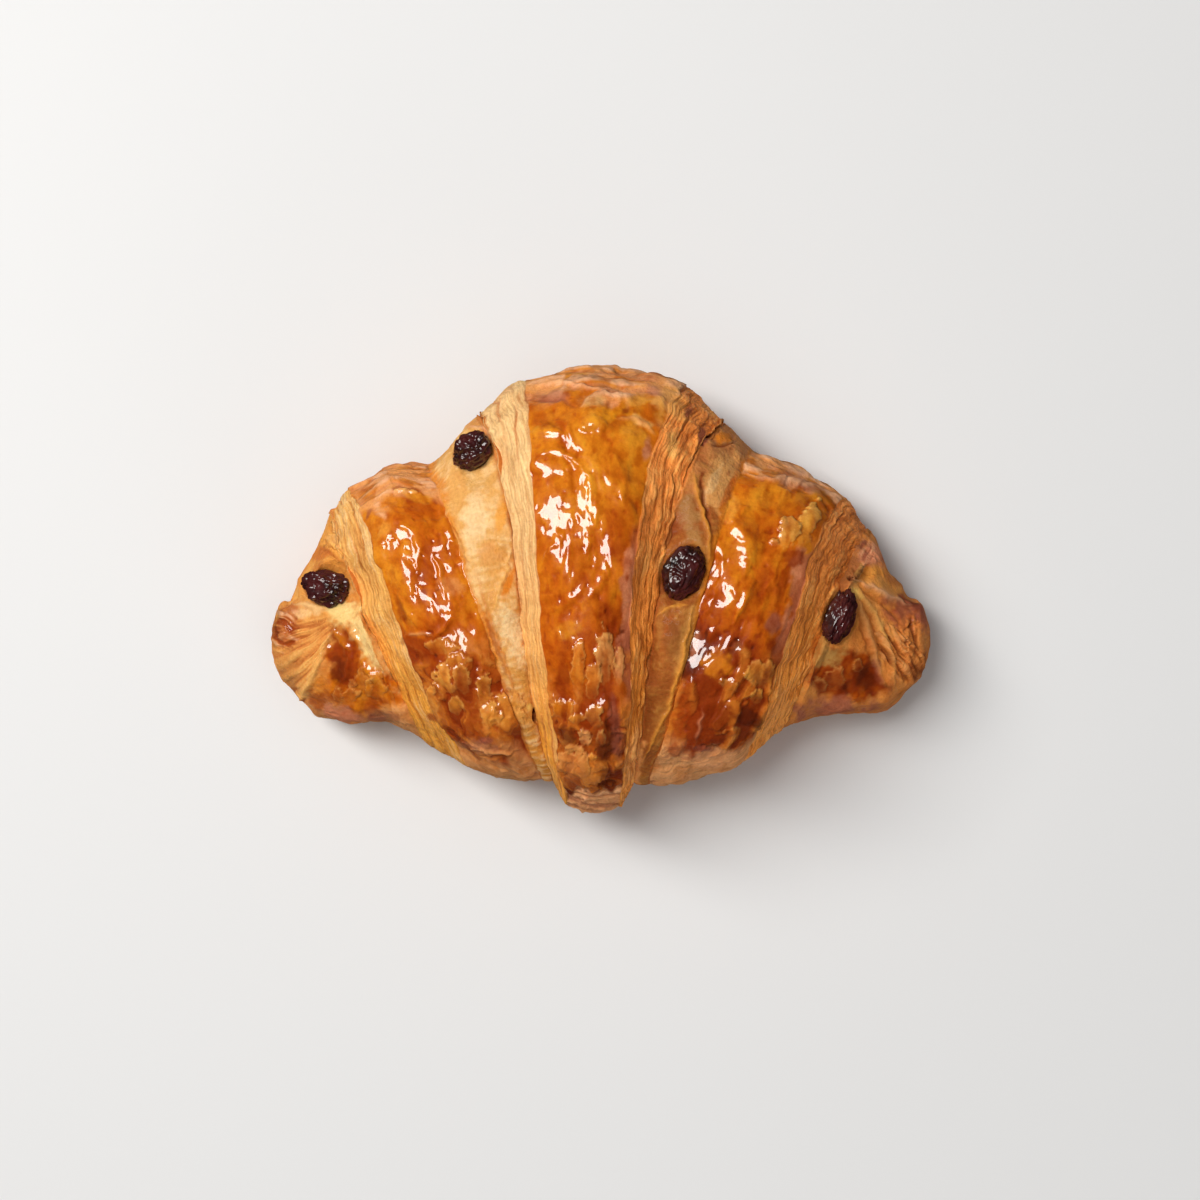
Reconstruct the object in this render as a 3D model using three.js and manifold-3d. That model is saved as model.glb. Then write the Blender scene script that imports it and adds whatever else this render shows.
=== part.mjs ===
// A raisin croissant as it lies after baking: one rolled and curved piece of laminated dough with its
// wraps stepping down from the middle to both horns, and four raisins pressed into the steps.
// Millimetres, +Z up. X runs along the croissant from horn to horn, -Y is its front, where the outer
// wrap ends in a tongue, and the origin is under the middle, on the surface that it rests on.
import * as THREE from "three";
import Module from "manifold-3d";
import { mergeVertices } from "three/addons/utils/BufferGeometryUtils.js";

// Overall form
const HALF_LENGTH = 80.3;
const MIDDLE_SHARE = 0.42; // height of the widest line, as a share of the local height
const UNDER_DEPTH = 1.3; // how far the round underside would reach before the flat base cuts it off
const SIDE_FULLNESS = 0.94; // below 1 makes the section squarer than an ellipse
const CAP_START = 77; // where the blunt end of a horn starts to close
// Mesh rows round a section, from the tongue's end under the front, over the top and back underneath
const ROW_RUNS = [
  { from: -22, to: 10, rows: 8 },
  { from: 10, to: 170, rows: 32 },
  { from: 170, to: 205, rows: 6 },
  { from: 205, to: 338, rows: 15 },
];

// The smooth spindle under the wraps: at each distance from the middle, its half width, where its
// centre line lies (the horns curve to the front), its top, and how far its base lifts
const SPINDLE = [
  { from: 0, halfWidth: 49.4, centre: 2.6, top: 56, lift: 0 },
  { from: 20, halfWidth: 47.2, centre: 2.2, top: 54, lift: 0 },
  { from: 30, halfWidth: 42.6, centre: -0.5, top: 51, lift: 0 },
  { from: 40, halfWidth: 35.8, centre: -2.4, top: 46.5, lift: 0 },
  { from: 50, halfWidth: 31.2, centre: -2.0, top: 41.5, lift: 0 },
  { from: 60, halfWidth: 27.6, centre: -4.6, top: 35.5, lift: 0.3 },
  { from: 66, halfWidth: 23.2, centre: -7.6, top: 31, lift: 0.9 },
  { from: 70, halfWidth: 17.6, centre: -12.0, top: 28, lift: 1.6 },
  { from: 75, halfWidth: 12.0, centre: -13.3, top: 24.5, lift: 2.6 },
  { from: 80.3, halfWidth: 8.6, centre: -11.0, top: 21, lift: 3.2 },
];

// The wraps' edges, from the left horn to the right. Each is a line over the croissant: x is where it
// lies at the front, on top and at the back, and bend how sharply it turns between them. off is how far
// the dough stands off the spindle in the same three places: a rim is the outer lip of a wrap, and its
// foot is where the next wrap comes out.
const EDGES = [
  { name: "left end", x: [-80.3, -80.3, -80.3], bend: 0, off: [0, 0, 0] },
  { name: "left tip foot", x: [-47.8, -60.4, -75.8], bend: 0, off: [0.2, -0.9, -1.2] },
  { name: "left tip rim", x: [-46.3, -58.7, -74.0], bend: 0, off: [-0.2, 0.7, 2.4] },
  { name: "left side foot", x: [-43.0, -57.3, -66.0], bend: 1, off: [-0.7, -3.0, 3.2] },
  { name: "left side rim", x: [-31.0, -49.5, -62.0], bend: 4, off: [0.4, 3.6, 3.2] },
  { name: "left glaze line", x: [-14.0, -30.0, -42.0], bend: 1, off: [0.2, -1.4, -1.0] },
  { name: "left middle foot", x: [-11.5, -19.6, -30.0], bend: 4, off: [0.2, -4.4, 0.6] },
  { name: "left middle rim", x: [-8.2, -14.5, -18.0], bend: 1, off: [3.0, 1.8, 1.2] },
  { name: "right middle rim", x: [4.6, 7.7, 21.0], bend: -5, off: [3.4, 1.8, 0.6] },
  { name: "right middle foot", x: [7.8, 14.0, 30.0], bend: -3, off: [0.4, -4.4, -1.4] },
  { name: "right glaze line", x: [11.5, 24.5, 37.0], bend: -1, off: [0.4, -1.8, -1.6] },
  { name: "right side rim", x: [34.0, 46.6, 60.0], bend: -1, off: [0.4, 3.6, -0.6] },
  { name: "right side foot", x: [43.5, 55.5, 66.0], bend: -1, off: [-1.8, -3.0, -2.2] },
  { name: "right tip rim", x: [46.3, 56.9, 73.4], bend: 0, off: [-2.2, 0.7, 0.2] },
  { name: "right tip foot", x: [47.8, 58.6, 75.2], bend: 0, off: [-2.0, -0.9, -1.4] },
  { name: "right end", x: [80.3, 80.3, 80.3], bend: 0, off: [0, 0, 0] },
];

// What lies between one edge and the next: how far it bulges at the outline and on top, how many
// layers show on it, and its mesh columns
const HORN = { bulge: 0.9, crown: 0.9, layers: 0, columns: 9 };
const THIN_LIP = { bulge: 0, crown: 0, layers: 0, columns: 2 };
const TIP_WRAP = { bulge: 0.4, crown: 0.4, layers: 0, columns: 3 };
const CUT_SIDE = { bulge: 0.3, crown: 0.3, layers: 3, columns: 6 };
const SIDE_WRAP = { bulge: 0.9, crown: 2.4, layers: 0, columns: 8 };
const PALE_BAND = { bulge: 0.4, crown: 0.9, layers: 0, columns: 4 };
const MIDDLE_WRAP = { bulge: 0.9, crown: 2.4, layers: 0, columns: 9 };
const PILLOW_POWER = 2.5; // above 2 makes a bulge flatter in its middle than a parabola
const HALF_OF_ZONES = [HORN, THIN_LIP, TIP_WRAP, CUT_SIDE, SIDE_WRAP, PALE_BAND, CUT_SIDE];
const ZONES = [...HALF_OF_ZONES, MIDDLE_WRAP, ...[...HALF_OF_ZONES].reverse()];
const LAYER_HEIGHT = 0.3; // how far each layer on a cut side stands out
const RELIEF_UNDERNEATH = 0.35; // share of the relief that is left underneath

// The tongue: the outer wrap's tip, at the front of the middle wrap. Its blunt toe stands out, and
// below its end the dough falls back to the level of the wrap inside it.
const TONGUE_SWELL = 2.5;
const TOE_ANGLE = THREE.MathUtils.degToRad(2);
const TOE_SPREAD = THREE.MathUtils.degToRad(16);
const TONGUE_END = THREE.MathUtils.degToRad(-15);
const TONGUE_END_SPREAD = THREE.MathUtils.degToRad(3);
const INNER_LEVEL = -0.6;

// Slow lumps of the baked surface, as plane waves: their direction and wavelength, and their height
const LUMPS = [
  { along: new THREE.Vector3(1, 0.4, 0.2), wavelength: 17, height: 0.35, phase: 0.4 },
  { along: new THREE.Vector3(-0.3, 1, 0.5), wavelength: 14, height: 0.32, phase: 2.1 },
  { along: new THREE.Vector3(0.6, -0.8, 0.9), wavelength: 11, height: 0.25, phase: 4.0 },
  { along: new THREE.Vector3(0.9, 0.7, -1), wavelength: 8.5, height: 0.16, phase: 5.3 },
];

// The raisins: where their middles lie seen from above, their half axes (long, across, thick), the
// long axis's direction from +X, and how much of the thickness is sunk in the dough
const RAISINS = [
  { name: "raisin_left_end", x: -66.2, y: 0.6, half: [5.7, 4.6, 3.6], turn: -12, sunk: 0.5 },
  { name: "raisin_left_step", x: -30.9, y: 32.5, half: [5.0, 4.6, 3.8], turn: 35, sunk: 0.5 },
  { name: "raisin_right_step", x: 19.6, y: 4.2, half: [6.9, 5.3, 4.0], turn: 66, sunk: 0.5 },
  { name: "raisin_right_end", x: 56.6, y: -6.6, half: [6.9, 4.0, 3.7], turn: 68, sunk: 0.5 },
];
const RAISIN_GAP = 0.35; // between a raisin and its pocket
const RAISIN_FACETS = 4; // how often the icosahedron's edges are divided
const WRINKLES = [
  { along: new THREE.Vector3(0.4, 5.2, 1.1), height: 0.055, phase: 0.3 },
  { along: new THREE.Vector3(1.9, 4.1, -3.4), height: 0.045, phase: 1.9 },
  { along: new THREE.Vector3(-3.3, 1.2, 4.6), height: 0.04, phase: 3.7 },
];

const CRUST_COLOUR = 0xc9822f;
const RAISIN_COLOUR = 0x2a120d;

function smoothStep(low, high, value) {
  return THREE.MathUtils.smoothstep(value, low, high);
}

// The spindle's sizes at a distance from the middle, on a smooth curve through the stations
const spindleSlopes = {};
for (const key of ["halfWidth", "centre", "top", "lift"]) {
  const rises = SPINDLE.slice(1).map(
    (station, i) => (station[key] - SPINDLE[i][key]) / (station.from - SPINDLE[i].from),
  );
  spindleSlopes[key] = SPINDLE.map((_, i) => {
    if (i === 0) return 0;
    if (i === SPINDLE.length - 1) return rises[i - 1];
    return rises[i - 1] * rises[i] > 0
      ? (2 * rises[i - 1] * rises[i]) / (rises[i - 1] + rises[i])
      : 0;
  });
}

function spindleAt(x, key) {
  const from = Math.min(Math.abs(x), HALF_LENGTH);
  let i = 0;
  while (i < SPINDLE.length - 2 && from > SPINDLE[i + 1].from) i++;
  const span = SPINDLE[i + 1].from - SPINDLE[i].from;
  const t = (from - SPINDLE[i].from) / span;
  const low = SPINDLE[i][key];
  const high = SPINDLE[i + 1][key];
  const lowSlope = spindleSlopes[key][i] * span;
  const highSlope = spindleSlopes[key][i + 1] * span;
  return (
    (1 + 2 * t) * (1 - t) ** 2 * low +
    t * (1 - t) ** 2 * lowSlope +
    t * t * (3 - 2 * t) * high +
    t * t * (t - 1) * highSlope
  );
}

// A value given at the front, on top and at the back, where the cosine of the angle round the section
// is side: 1 at the front and -1 at the back
function roundSection([front, top, back], side, bend = 0) {
  const curve = (front + back) / 2 - top;
  const slope = (front - back) / 2 - bend;
  return top + slope * side + curve * side ** 2 + bend * side ** 3;
}

function lumpsAt(point) {
  let height = 0;
  for (const lump of LUMPS) {
    const phase = (point.dot(lump.along) / lump.along.length()) * ((2 * Math.PI) / lump.wavelength);
    height += lump.height * Math.sin(phase + lump.phase);
  }
  return height;
}

// How much of the tongue's width counts at a share of the way across a zone
function tongueShare(zoneIndex, across) {
  if (ZONES[zoneIndex] === MIDDLE_WRAP) return 1;
  if (ZONES[zoneIndex + 1] === MIDDLE_WRAP) return across;
  return ZONES[zoneIndex - 1] === MIDDLE_WRAP ? 1 - across : 0;
}

// How far the dough stands off the spindle at a share of the way across a zone
function reliefAt(zoneIndex, across, angle) {
  const zone = ZONES[zoneIndex];
  const side = Math.cos(angle);
  const low = roundSection(EDGES[zoneIndex].off, side);
  const high = roundSection(EDGES[zoneIndex + 1].off, side);
  const layers = zone.layers ? -LAYER_HEIGHT * Math.cos(2 * Math.PI * zone.layers * across) : 0;
  let relief = THREE.MathUtils.lerp(low, high, across);
  const height = THREE.MathUtils.lerp(zone.bulge, zone.crown, smoothStep(0.3, 0.8, Math.sin(angle)));
  relief += height * (1 - Math.abs(2 * across - 1) ** PILLOW_POWER) + layers;
  const underneath = smoothStep(0, 0.8, -Math.sin(angle));
  relief *= THREE.MathUtils.lerp(1, RELIEF_UNDERNEATH, underneath);
  const tongue = tongueShare(zoneIndex, across);
  if (tongue === 0 || side < 0) return relief;
  relief += TONGUE_SWELL * tongue * Math.exp(-(((angle - TOE_ANGLE) / TOE_SPREAD) ** 2));
  const ended = 1 - smoothStep(TONGUE_END - TONGUE_END_SPREAD, TONGUE_END + TONGUE_END_SPREAD, angle);
  return THREE.MathUtils.lerp(relief, INNER_LEVEL, ended * tongue);
}

function sectionPoint(x, angle, relief) {
  const side = Math.cos(angle);
  const rise = Math.sin(angle);
  const closing = Math.max(0, Math.abs(x) - CAP_START) / (HALF_LENGTH - CAP_START);
  const cap = Math.sqrt(Math.max(0, 1 - closing ** 2));
  const base = spindleAt(x, "lift");
  const top = spindleAt(x, "top");
  const middle = base + MIDDLE_SHARE * (top - base);
  const halfWidth = spindleAt(x, "halfWidth");
  const halfHeight = rise > 0 ? top - middle : (middle - base) * UNDER_DEPTH;
  const across = Math.sign(side) * Math.abs(side) ** SIDE_FULLNESS;
  const up = Math.sign(rise) * Math.abs(rise) ** SIDE_FULLNESS;
  const outward = new THREE.Vector2(-halfHeight * side, halfWidth * rise).normalize();
  const y = spindleAt(x, "centre") - halfWidth * cap * across;
  const z = middle + halfHeight * cap * up;
  const lump = lumpsAt(new THREE.Vector3(x, y, z));
  const off = (relief + lump) * cap;
  return new THREE.Vector3(x, y + outward.x * off, Math.max(0, z + outward.y * off));
}

function rowAngles() {
  const angles = [];
  for (const run of ROW_RUNS) {
    for (let row = 0; row < run.rows; row++) {
      const degrees = THREE.MathUtils.lerp(run.from, run.to, row / run.rows);
      angles.push(THREE.MathUtils.degToRad(degrees > 270 ? degrees - 360 : degrees));
    }
  }
  return angles;
}

function doughGeometry() {
  const positions = [];
  const index = [];
  const angles = rowAngles();
  const rows = angles.length;
  const ring = (zoneIndex, across) => {
    for (const angle of angles) {
      const side = Math.cos(angle);
      const left = roundSection(EDGES[zoneIndex].x, side, EDGES[zoneIndex].bend);
      const right = roundSection(EDGES[zoneIndex + 1].x, side, EDGES[zoneIndex + 1].bend);
      const x = THREE.MathUtils.lerp(left, right, across);
      positions.push(...sectionPoint(x, angle, reliefAt(zoneIndex, across, angle)).toArray());
    }
  };
  const leftPole = sectionPoint(-HALF_LENGTH, 0, 0);
  const rightPole = sectionPoint(HALF_LENGTH, 0, 0);
  positions.push(...leftPole.toArray());
  let rings = 0;
  ZONES.forEach((zone, zoneIndex) => {
    const isLast = zoneIndex === ZONES.length - 1;
    for (let column = 0; column < zone.columns; column++) {
      if (zoneIndex === 0 && column === 0) continue;
      ring(zoneIndex, endCrowded(zoneIndex, column / zone.columns, isLast));
      rings++;
    }
  });
  positions.push(...rightPole.toArray());
  const at = (ringIndex, row) => 1 + ringIndex * rows + (row % rows);
  const last = 1 + rings * rows;
  for (let row = 0; row < rows; row++) {
    index.push(0, at(0, row), at(0, row + 1));
    for (let r = 0; r < rings - 1; r++) {
      index.push(at(r, row), at(r + 1, row), at(r + 1, row + 1));
      index.push(at(r, row), at(r + 1, row + 1), at(r, row + 1));
    }
    index.push(last, at(rings - 1, row + 1), at(rings - 1, row));
  }
  const geometry = new THREE.BufferGeometry();
  geometry.setAttribute("position", new THREE.Float32BufferAttribute(positions, 3));
  geometry.setIndex(index);
  return geometry;
}

// In the two horns the columns crowd towards the blunt end, so that it is round
function endCrowded(zoneIndex, across, isLast) {
  const power = 1.7;
  if (zoneIndex === 0) return across ** power;
  return isLast ? 1 - (1 - across) ** power : across;
}

function raisinGeometry(raisin, grow) {
  const geometry = new THREE.IcosahedronGeometry(1, RAISIN_FACETS);
  geometry.deleteAttribute("normal");
  geometry.deleteAttribute("uv");
  const merged = mergeVertices(geometry, 1e-4);
  const position = merged.getAttribute("position");
  const point = new THREE.Vector3();
  for (let i = 0; i < position.count; i++) {
    point.fromBufferAttribute(position, i);
    let size = 1;
    for (const w of WRINKLES) size += w.height * Math.sin(point.dot(w.along) + w.phase + raisin.turn);
    const scale = raisin.half.map((half) => half * size + grow);
    position.setXYZ(i, point.x * scale[0], point.y * scale[1], point.z * scale[2]);
  }
  return merged;
}

// Lays a raisin on the dough: its thin axis along the dough's face, its middle sunk a little
function raisinPlace(raisin, dough) {
  const down = new THREE.Vector3(0, 0, -1);
  const caster = new THREE.Raycaster(new THREE.Vector3(raisin.x, raisin.y, 100), down);
  const hit = caster.intersectObject(dough)[0];
  const up = new THREE.Vector3(0, 0, 1).lerp(hit.face.normal, 0.5).normalize();
  const long = new THREE.Vector3(1, 0, 0).applyAxisAngle(
    new THREE.Vector3(0, 0, 1),
    THREE.MathUtils.degToRad(raisin.turn),
  );
  const across = new THREE.Vector3().crossVectors(up, long).normalize();
  long.crossVectors(across, up);
  const middle = hit.point.clone().addScaledVector(up, raisin.half[2] * (1 - 2 * raisin.sunk));
  return new THREE.Matrix4().makeBasis(long, across, up).setPosition(middle);
}

const wasm = await Module();
wasm.setup();

function solidOf(geometry) {
  return new wasm.Manifold(
    new wasm.Mesh({
      numProp: 3,
      vertProperties: new Float32Array(geometry.getAttribute("position").array),
      triVerts: new Uint32Array(geometry.index.array),
    }),
  );
}

function geometryOf(solid) {
  const mesh = solid.getMesh();
  const geometry = new THREE.BufferGeometry();
  geometry.setAttribute("position", new THREE.BufferAttribute(mesh.vertProperties, 3));
  geometry.setIndex(new THREE.BufferAttribute(mesh.triVerts, 1));
  geometry.computeVertexNormals();
  return geometry;
}

const croissant = new THREE.Group();
const crust = new THREE.MeshStandardMaterial({
  color: CRUST_COLOUR,
  roughness: 0.35,
  side: THREE.DoubleSide,
});
const fruit = new THREE.MeshStandardMaterial({ color: RAISIN_COLOUR, roughness: 0.4 });

const plain = new THREE.Mesh(doughGeometry(), crust);
let dough = solidOf(plain.geometry);
for (const raisin of RAISINS) {
  const place = raisinPlace(raisin, plain);
  dough = dough.subtract(solidOf(raisinGeometry(raisin, RAISIN_GAP).applyMatrix4(place)));
  const mesh = new THREE.Mesh(raisinGeometry(raisin, 0), fruit);
  mesh.name = raisin.name;
  mesh.applyMatrix4(place);
  croissant.add(mesh);
}
const body = new THREE.Mesh(geometryOf(dough), crust);
body.name = "croissant";
croissant.add(body);

export default croissant;
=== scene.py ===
"""A glazed raisin croissant on a pale table, seen from straight above.

The wraps of dough are sleeves round one spindle, each with its own crust: the glazed bands, the cut
sides where the layers show, the pale dough that rose out between them, and the pinched horns. The
spindle and the wraps' edges are those of the solid. Sizes are in millimetres, angles in degrees.
"""

import bmesh
import bpy
import numpy as np
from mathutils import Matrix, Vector


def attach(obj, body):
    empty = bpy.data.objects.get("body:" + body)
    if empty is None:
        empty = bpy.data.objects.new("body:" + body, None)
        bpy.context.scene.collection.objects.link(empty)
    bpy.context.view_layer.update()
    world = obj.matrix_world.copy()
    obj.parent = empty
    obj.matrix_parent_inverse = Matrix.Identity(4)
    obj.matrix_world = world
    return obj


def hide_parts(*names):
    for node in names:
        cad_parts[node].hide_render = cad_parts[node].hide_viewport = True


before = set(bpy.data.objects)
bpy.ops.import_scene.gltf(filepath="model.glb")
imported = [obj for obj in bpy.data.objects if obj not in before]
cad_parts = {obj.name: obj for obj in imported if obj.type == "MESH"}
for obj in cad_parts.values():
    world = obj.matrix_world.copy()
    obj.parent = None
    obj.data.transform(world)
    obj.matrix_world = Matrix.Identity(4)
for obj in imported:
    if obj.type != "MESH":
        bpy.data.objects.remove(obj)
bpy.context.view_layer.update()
MM = 0.001

# The camera looks straight down, and this wide a view fits on the level of the croissant's outline
FRAME_WIDTH = 290.0
OUTLINE_HEIGHT = 22.0
LENS, SENSOR = 100.0, 36.0
VIEW_CENTRE = np.array([-0.24, -2.54])
CAMERA_HEIGHT = OUTLINE_HEIGHT + FRAME_WIDTH * LENS / SENSOR

# The smooth spindle: distance from the middle, half width, centre line, top and lift of the base
SPINDLE_FROM = [0, 20, 30, 40, 50, 60, 66, 70, 75, 80.3]
SPINDLE = {
    "half_width": [49.4, 47.2, 42.6, 35.8, 31.2, 27.6, 23.2, 17.6, 12.0, 8.6],
    "centre": [2.6, 2.2, -0.5, -2.4, -2.0, -4.6, -7.6, -12.0, -13.3, -11.0],
    "top": [56, 54, 51, 46.5, 41.5, 35.5, 31, 28, 24.5, 21],
    "lift": [0, 0, 0, 0, 0, 0.3, 0.9, 1.6, 2.6, 3.2],
}
HALF_LENGTH = 80.3

# Its section is widest at this share of its height, reaches so much deeper than the base, which cuts
# it flat, and is a little squarer than an ellipse. Its ends are rounded off from this distance on
MIDDLE_SHARE = 0.42
UNDER_DEPTH = 1.3
SIDE_FULLNESS = 0.94
CAP_START = 77

# Relief underneath is this share of that on top, and goes no lower than this height
RELIEF_UNDERNEATH = 0.35
LOWEST_RELIEF = 0.02

# Lines over the croissant: X at the front, on top and at the back, how sharply the line turns, and how
# far the dough stands off the spindle in the same three places
LEFT_TIP_FOOT = ((-47.8, -60.4, -75.8), 0, (0.2, -0.9, -1.2))
LEFT_TIP_RIM = ((-46.3, -58.7, -74), 0, (-0.2, 0.7, 2.4))
LEFT_SIDE_FOOT = ((-43, -57.3, -66), 1, (-0.7, -3, 3.2))
LEFT_SIDE_RIM = ((-31, -49.5, -62), 4, (0.4, 3.6, 3.2))
LEFT_GLAZE_LINE = ((-14, -30, -42), 1, (0.2, -1.4, -1))
LEFT_MIDDLE_FOOT = ((-11.5, -19.6, -30), 4, (0.2, -4.4, 0.6))
LEFT_MIDDLE_RIM = ((-8.2, -14.5, -18), 1, (3, 1.8, 1.2))
RIGHT_MIDDLE_RIM = ((4.6, 7.7, 21), -5, (3.4, 1.8, 0.6))
RIGHT_MIDDLE_FOOT = ((7.8, 14, 30), -3, (0.4, -4.4, -1.4))
RIGHT_GLAZE_LINE = ((11.5, 24.5, 37), -1, (0.4, -1.8, -1.6))
RIGHT_SIDE_RIM = ((34, 46.6, 60), -1, (0.4, 3.6, -0.6))
RIGHT_SIDE_FOOT = ((43.5, 55.5, 66), -1, (-1.8, -3, -2.2))
RIGHT_TIP_RIM = ((46.3, 56.9, 73.4), 0, (-2.2, 0.7, 0.2))
RIGHT_TIP_FOOT = ((47.8, 58.6, 75.2), 0, (-2, -0.9, -1.4))

# Each glazed band is a pillow between its edges, lower at the outline than on top
PILLOW_TOP, PILLOW_OUTLINE = 2.4, 0.9
PILLOW_POWER = 2.5

# The tongue at the front of the middle wrap
TONGUE_SWELL = 2.5
TOE_ANGLE, TOE_SPREAD = 2, 16
TONGUE_END, TONGUE_END_SPREAD = -15, 3
INNER_LEVEL = -0.6
CUT_END_START = 19

# Slow lumps, as plane waves: direction, wavelength, height and phase
LUMPS = [
    ((1, 0.4, 0.2), 17, 0.35, 0.4),
    ((-0.3, 1, 0.5), 14, 0.32, 2.1),
    ((0.6, -0.8, 0.9), 11, 0.25, 4.0),
    ((0.9, 0.7, -1), 8.5, 0.16, 5.3),
]

# Colours of the crust, as linear light
CREAM = (0.88, 0.57, 0.26)
STRAW = (0.86, 0.46, 0.13)
GOLD = (0.84, 0.36, 0.05)
YOLK = (0.9, 0.38, 0.045)
HONEY = (0.78, 0.295, 0.02)
AMBER = (0.68, 0.2, 0.009)
ORANGE = (0.55, 0.112, 0.005)
RUST = (0.31, 0.042, 0.004)
BURNT = (0.12, 0.016, 0.004)
LEMON = (0.86, 0.58, 0.15)
PEACH = (0.8, 0.35, 0.115)
TAN = (0.72, 0.26, 0.06)
# Sienna is painted light as well as colour: the right sides facing away from the window get it
SIENNA = (0.9, 0.29, 0.06)
CARAMEL = (0.6, 0.175, 0.024)
TOAST = (0.44, 0.11, 0.019)
BROWN = (0.26, 0.052, 0.01)
OLIVE = (0.36, 0.2, 0.05)
PINK = (0.86, 0.46, 0.25)
ROSE = (0.64, 0.22, 0.1)
MAUVE = (0.34, 0.085, 0.045)
MARIGOLD = (0.84, 0.34, 0.05)
BRONZE = (0.66, 0.24, 0.03)
COPPER = (0.62, 0.22, 0.03)
GINGER = (0.6, 0.17, 0.018)
UMBER = (0.44, 0.1, 0.012)
RUSSET = (0.46, 0.13, 0.06)
OCHRE = (0.76, 0.31, 0.075)
BISCUIT = (0.78, 0.36, 0.15)
# Apricot is the right band's low skin, painted lighter for light thrown up onto it
APRICOT = (0.9, 0.42, 0.16)
WALNUT = (0.46, 0.185, 0.036)
BUTTERSCOTCH = (0.74, 0.34, 0.08)

# How baked each glazed band is, from 0 to 1, at angles round the section from the front
BAKE_COLOURS = [(0, HONEY), (0.25, AMBER), (0.5, ORANGE), (0.8, RUST), (1, BURNT)]
MIDDLE_BAKE = [(35, 1.05), (60, 0.72), (90, 0.42), (120, 0.24)]
LEFT_BAKE = [(35, 0.9), (62, 0.84), (85, 0.42), (115, 0.3)]
RIGHT_BAKE = [(35, 0.92), (62, 0.88), (85, 0.56), (115, 0.32)]

# Colours of the horns and of the raisins, from light to dark and from dark to light
HORN_COLOURS = [(0, STRAW), (0.3, (0.8, 0.38, 0.09)), (0.65, (0.72, 0.27, 0.05)), (1, TOAST)]
RAISIN_COLOURS = [(0.3, (0.008, 0.002, 0.003)), (0.7, (0.09, 0.014, 0.013))]

# Colours of the unglazed dough, at angles round the section from the front
LEFT_PALE = [(25, (0.64, 0.26, 0.035)), (115, (0.78, 0.42, 0.13))]
# The right dough is painted darker than its own colour, a painted shadow of the middle wrap
RIGHT_PALE_IN_SHADOW = [
    (40, (0.4, 0.13, 0.02)),
    (80, (0.32, 0.09, 0.014)),
    (105, (0.4, 0.12, 0.02)),
    (135, (0.7, 0.29, 0.09)),
]

# Colours of the cut sides: at the front, at the back, of their light and of their dark layers
MIDDLE_CUT = (YOLK, CREAM, CREAM, (0.74, 0.24, 0.06))
LEFT_CUT = (YOLK, STRAW, CREAM, CARAMEL)
# The right cut sides are painted lighter than their dough, for light thrown up onto them
RIGHT_CUT = ((1.0, 0.35, 0.05), SIENNA, (0.98, 0.44, 0.12), CARAMEL)

# How far the wraps' edges stray from a smooth line, over how many degrees, and how far their backs
# sink in
EDGE_WOBBLE, EDGE_GRAIN = 0.42, 7
BACK_SETTLE = 0.7

# Terraces of torn skin: where each begins in the pattern, how high it stands on the last, its colour
TERRACES = [
    (-0.25, 0.3, (0.46, 0.1, 0.01)),
    (0.15, 0.32, GINGER),
    (0.6, 0.3, (0.7, 0.24, 0.04)),
]

# Shades that multiply the crust's colour, at values of its grain, fibres, fine lines and mottles
GRAIN_SHADE = [(0.3, (0.9, 0.84, 0.76)), (0.7, (1.06, 1.06, 1.05))]
FIBRE_SHADE = [(0.34, (0.72, 0.55, 0.38)), (0.5, (1, 1, 1)), (0.66, (1.2, 1.25, 1.25))]
HAIRLINE_SHADE = [(0.44, (1.14, 1.15, 1.14)), (0.5, (0.4, 0.22, 0.11)), (0.56, (1.14, 1.15, 1.14))]
MOTTLE_SHADE = [(0.36, (0.78, 0.6, 0.45)), (0.52, (1, 1, 1)), (0.65, (1.06, 1.14, 1.1))]

# Lights: place, target and size in metres, power, colour, and whether the glaze mirrors the light
LIGHTS = {
    "window": ((-0.64, 0.4, 1.19), (0, 0, 0.03), (0.44, 1.15), 20.5, (1, 0.975, 0.94), True),
    "ceiling": ((0, 0, 1.9), (0, 0, 0), (3, 3), 12.5, (0.97, 0.98, 1), False),
    "bounce": ((0.45, -0.75, 0.3), (0, 0, 0.03), (0.6, 0.4), 1.1, (1, 0.96, 0.9), False),
}
ROOM_COLOUR, ROOM_STRENGTH = (0.97, 0.98, 1.0, 1), 0.08
TABLE_COLOUR, TABLE_HALF = (0.745, 0.75, 0.755, 1), 3.0

# Rows of points round the section, and where each piece's noise begins
WRAP_ROWS, HORN_ROWS = 530, 500
SEEDS = {"middle": 100, "left": 200, "right": 300, "horn_left": 400, "horn_right": 500}

# How far a sleeve goes on, along X and inwards: past the foot of its cut side, and under a wrap
TUCK = (3, 5)
LAP = (4, 4)

# The zones of a horn that show
HORN_ZONES = ("horn", "lip", "tip_wrap")

# How far apart the fibres' pattern puts two zones, so that no fibre runs on from one to the next
ZONE_APART = 50

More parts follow.
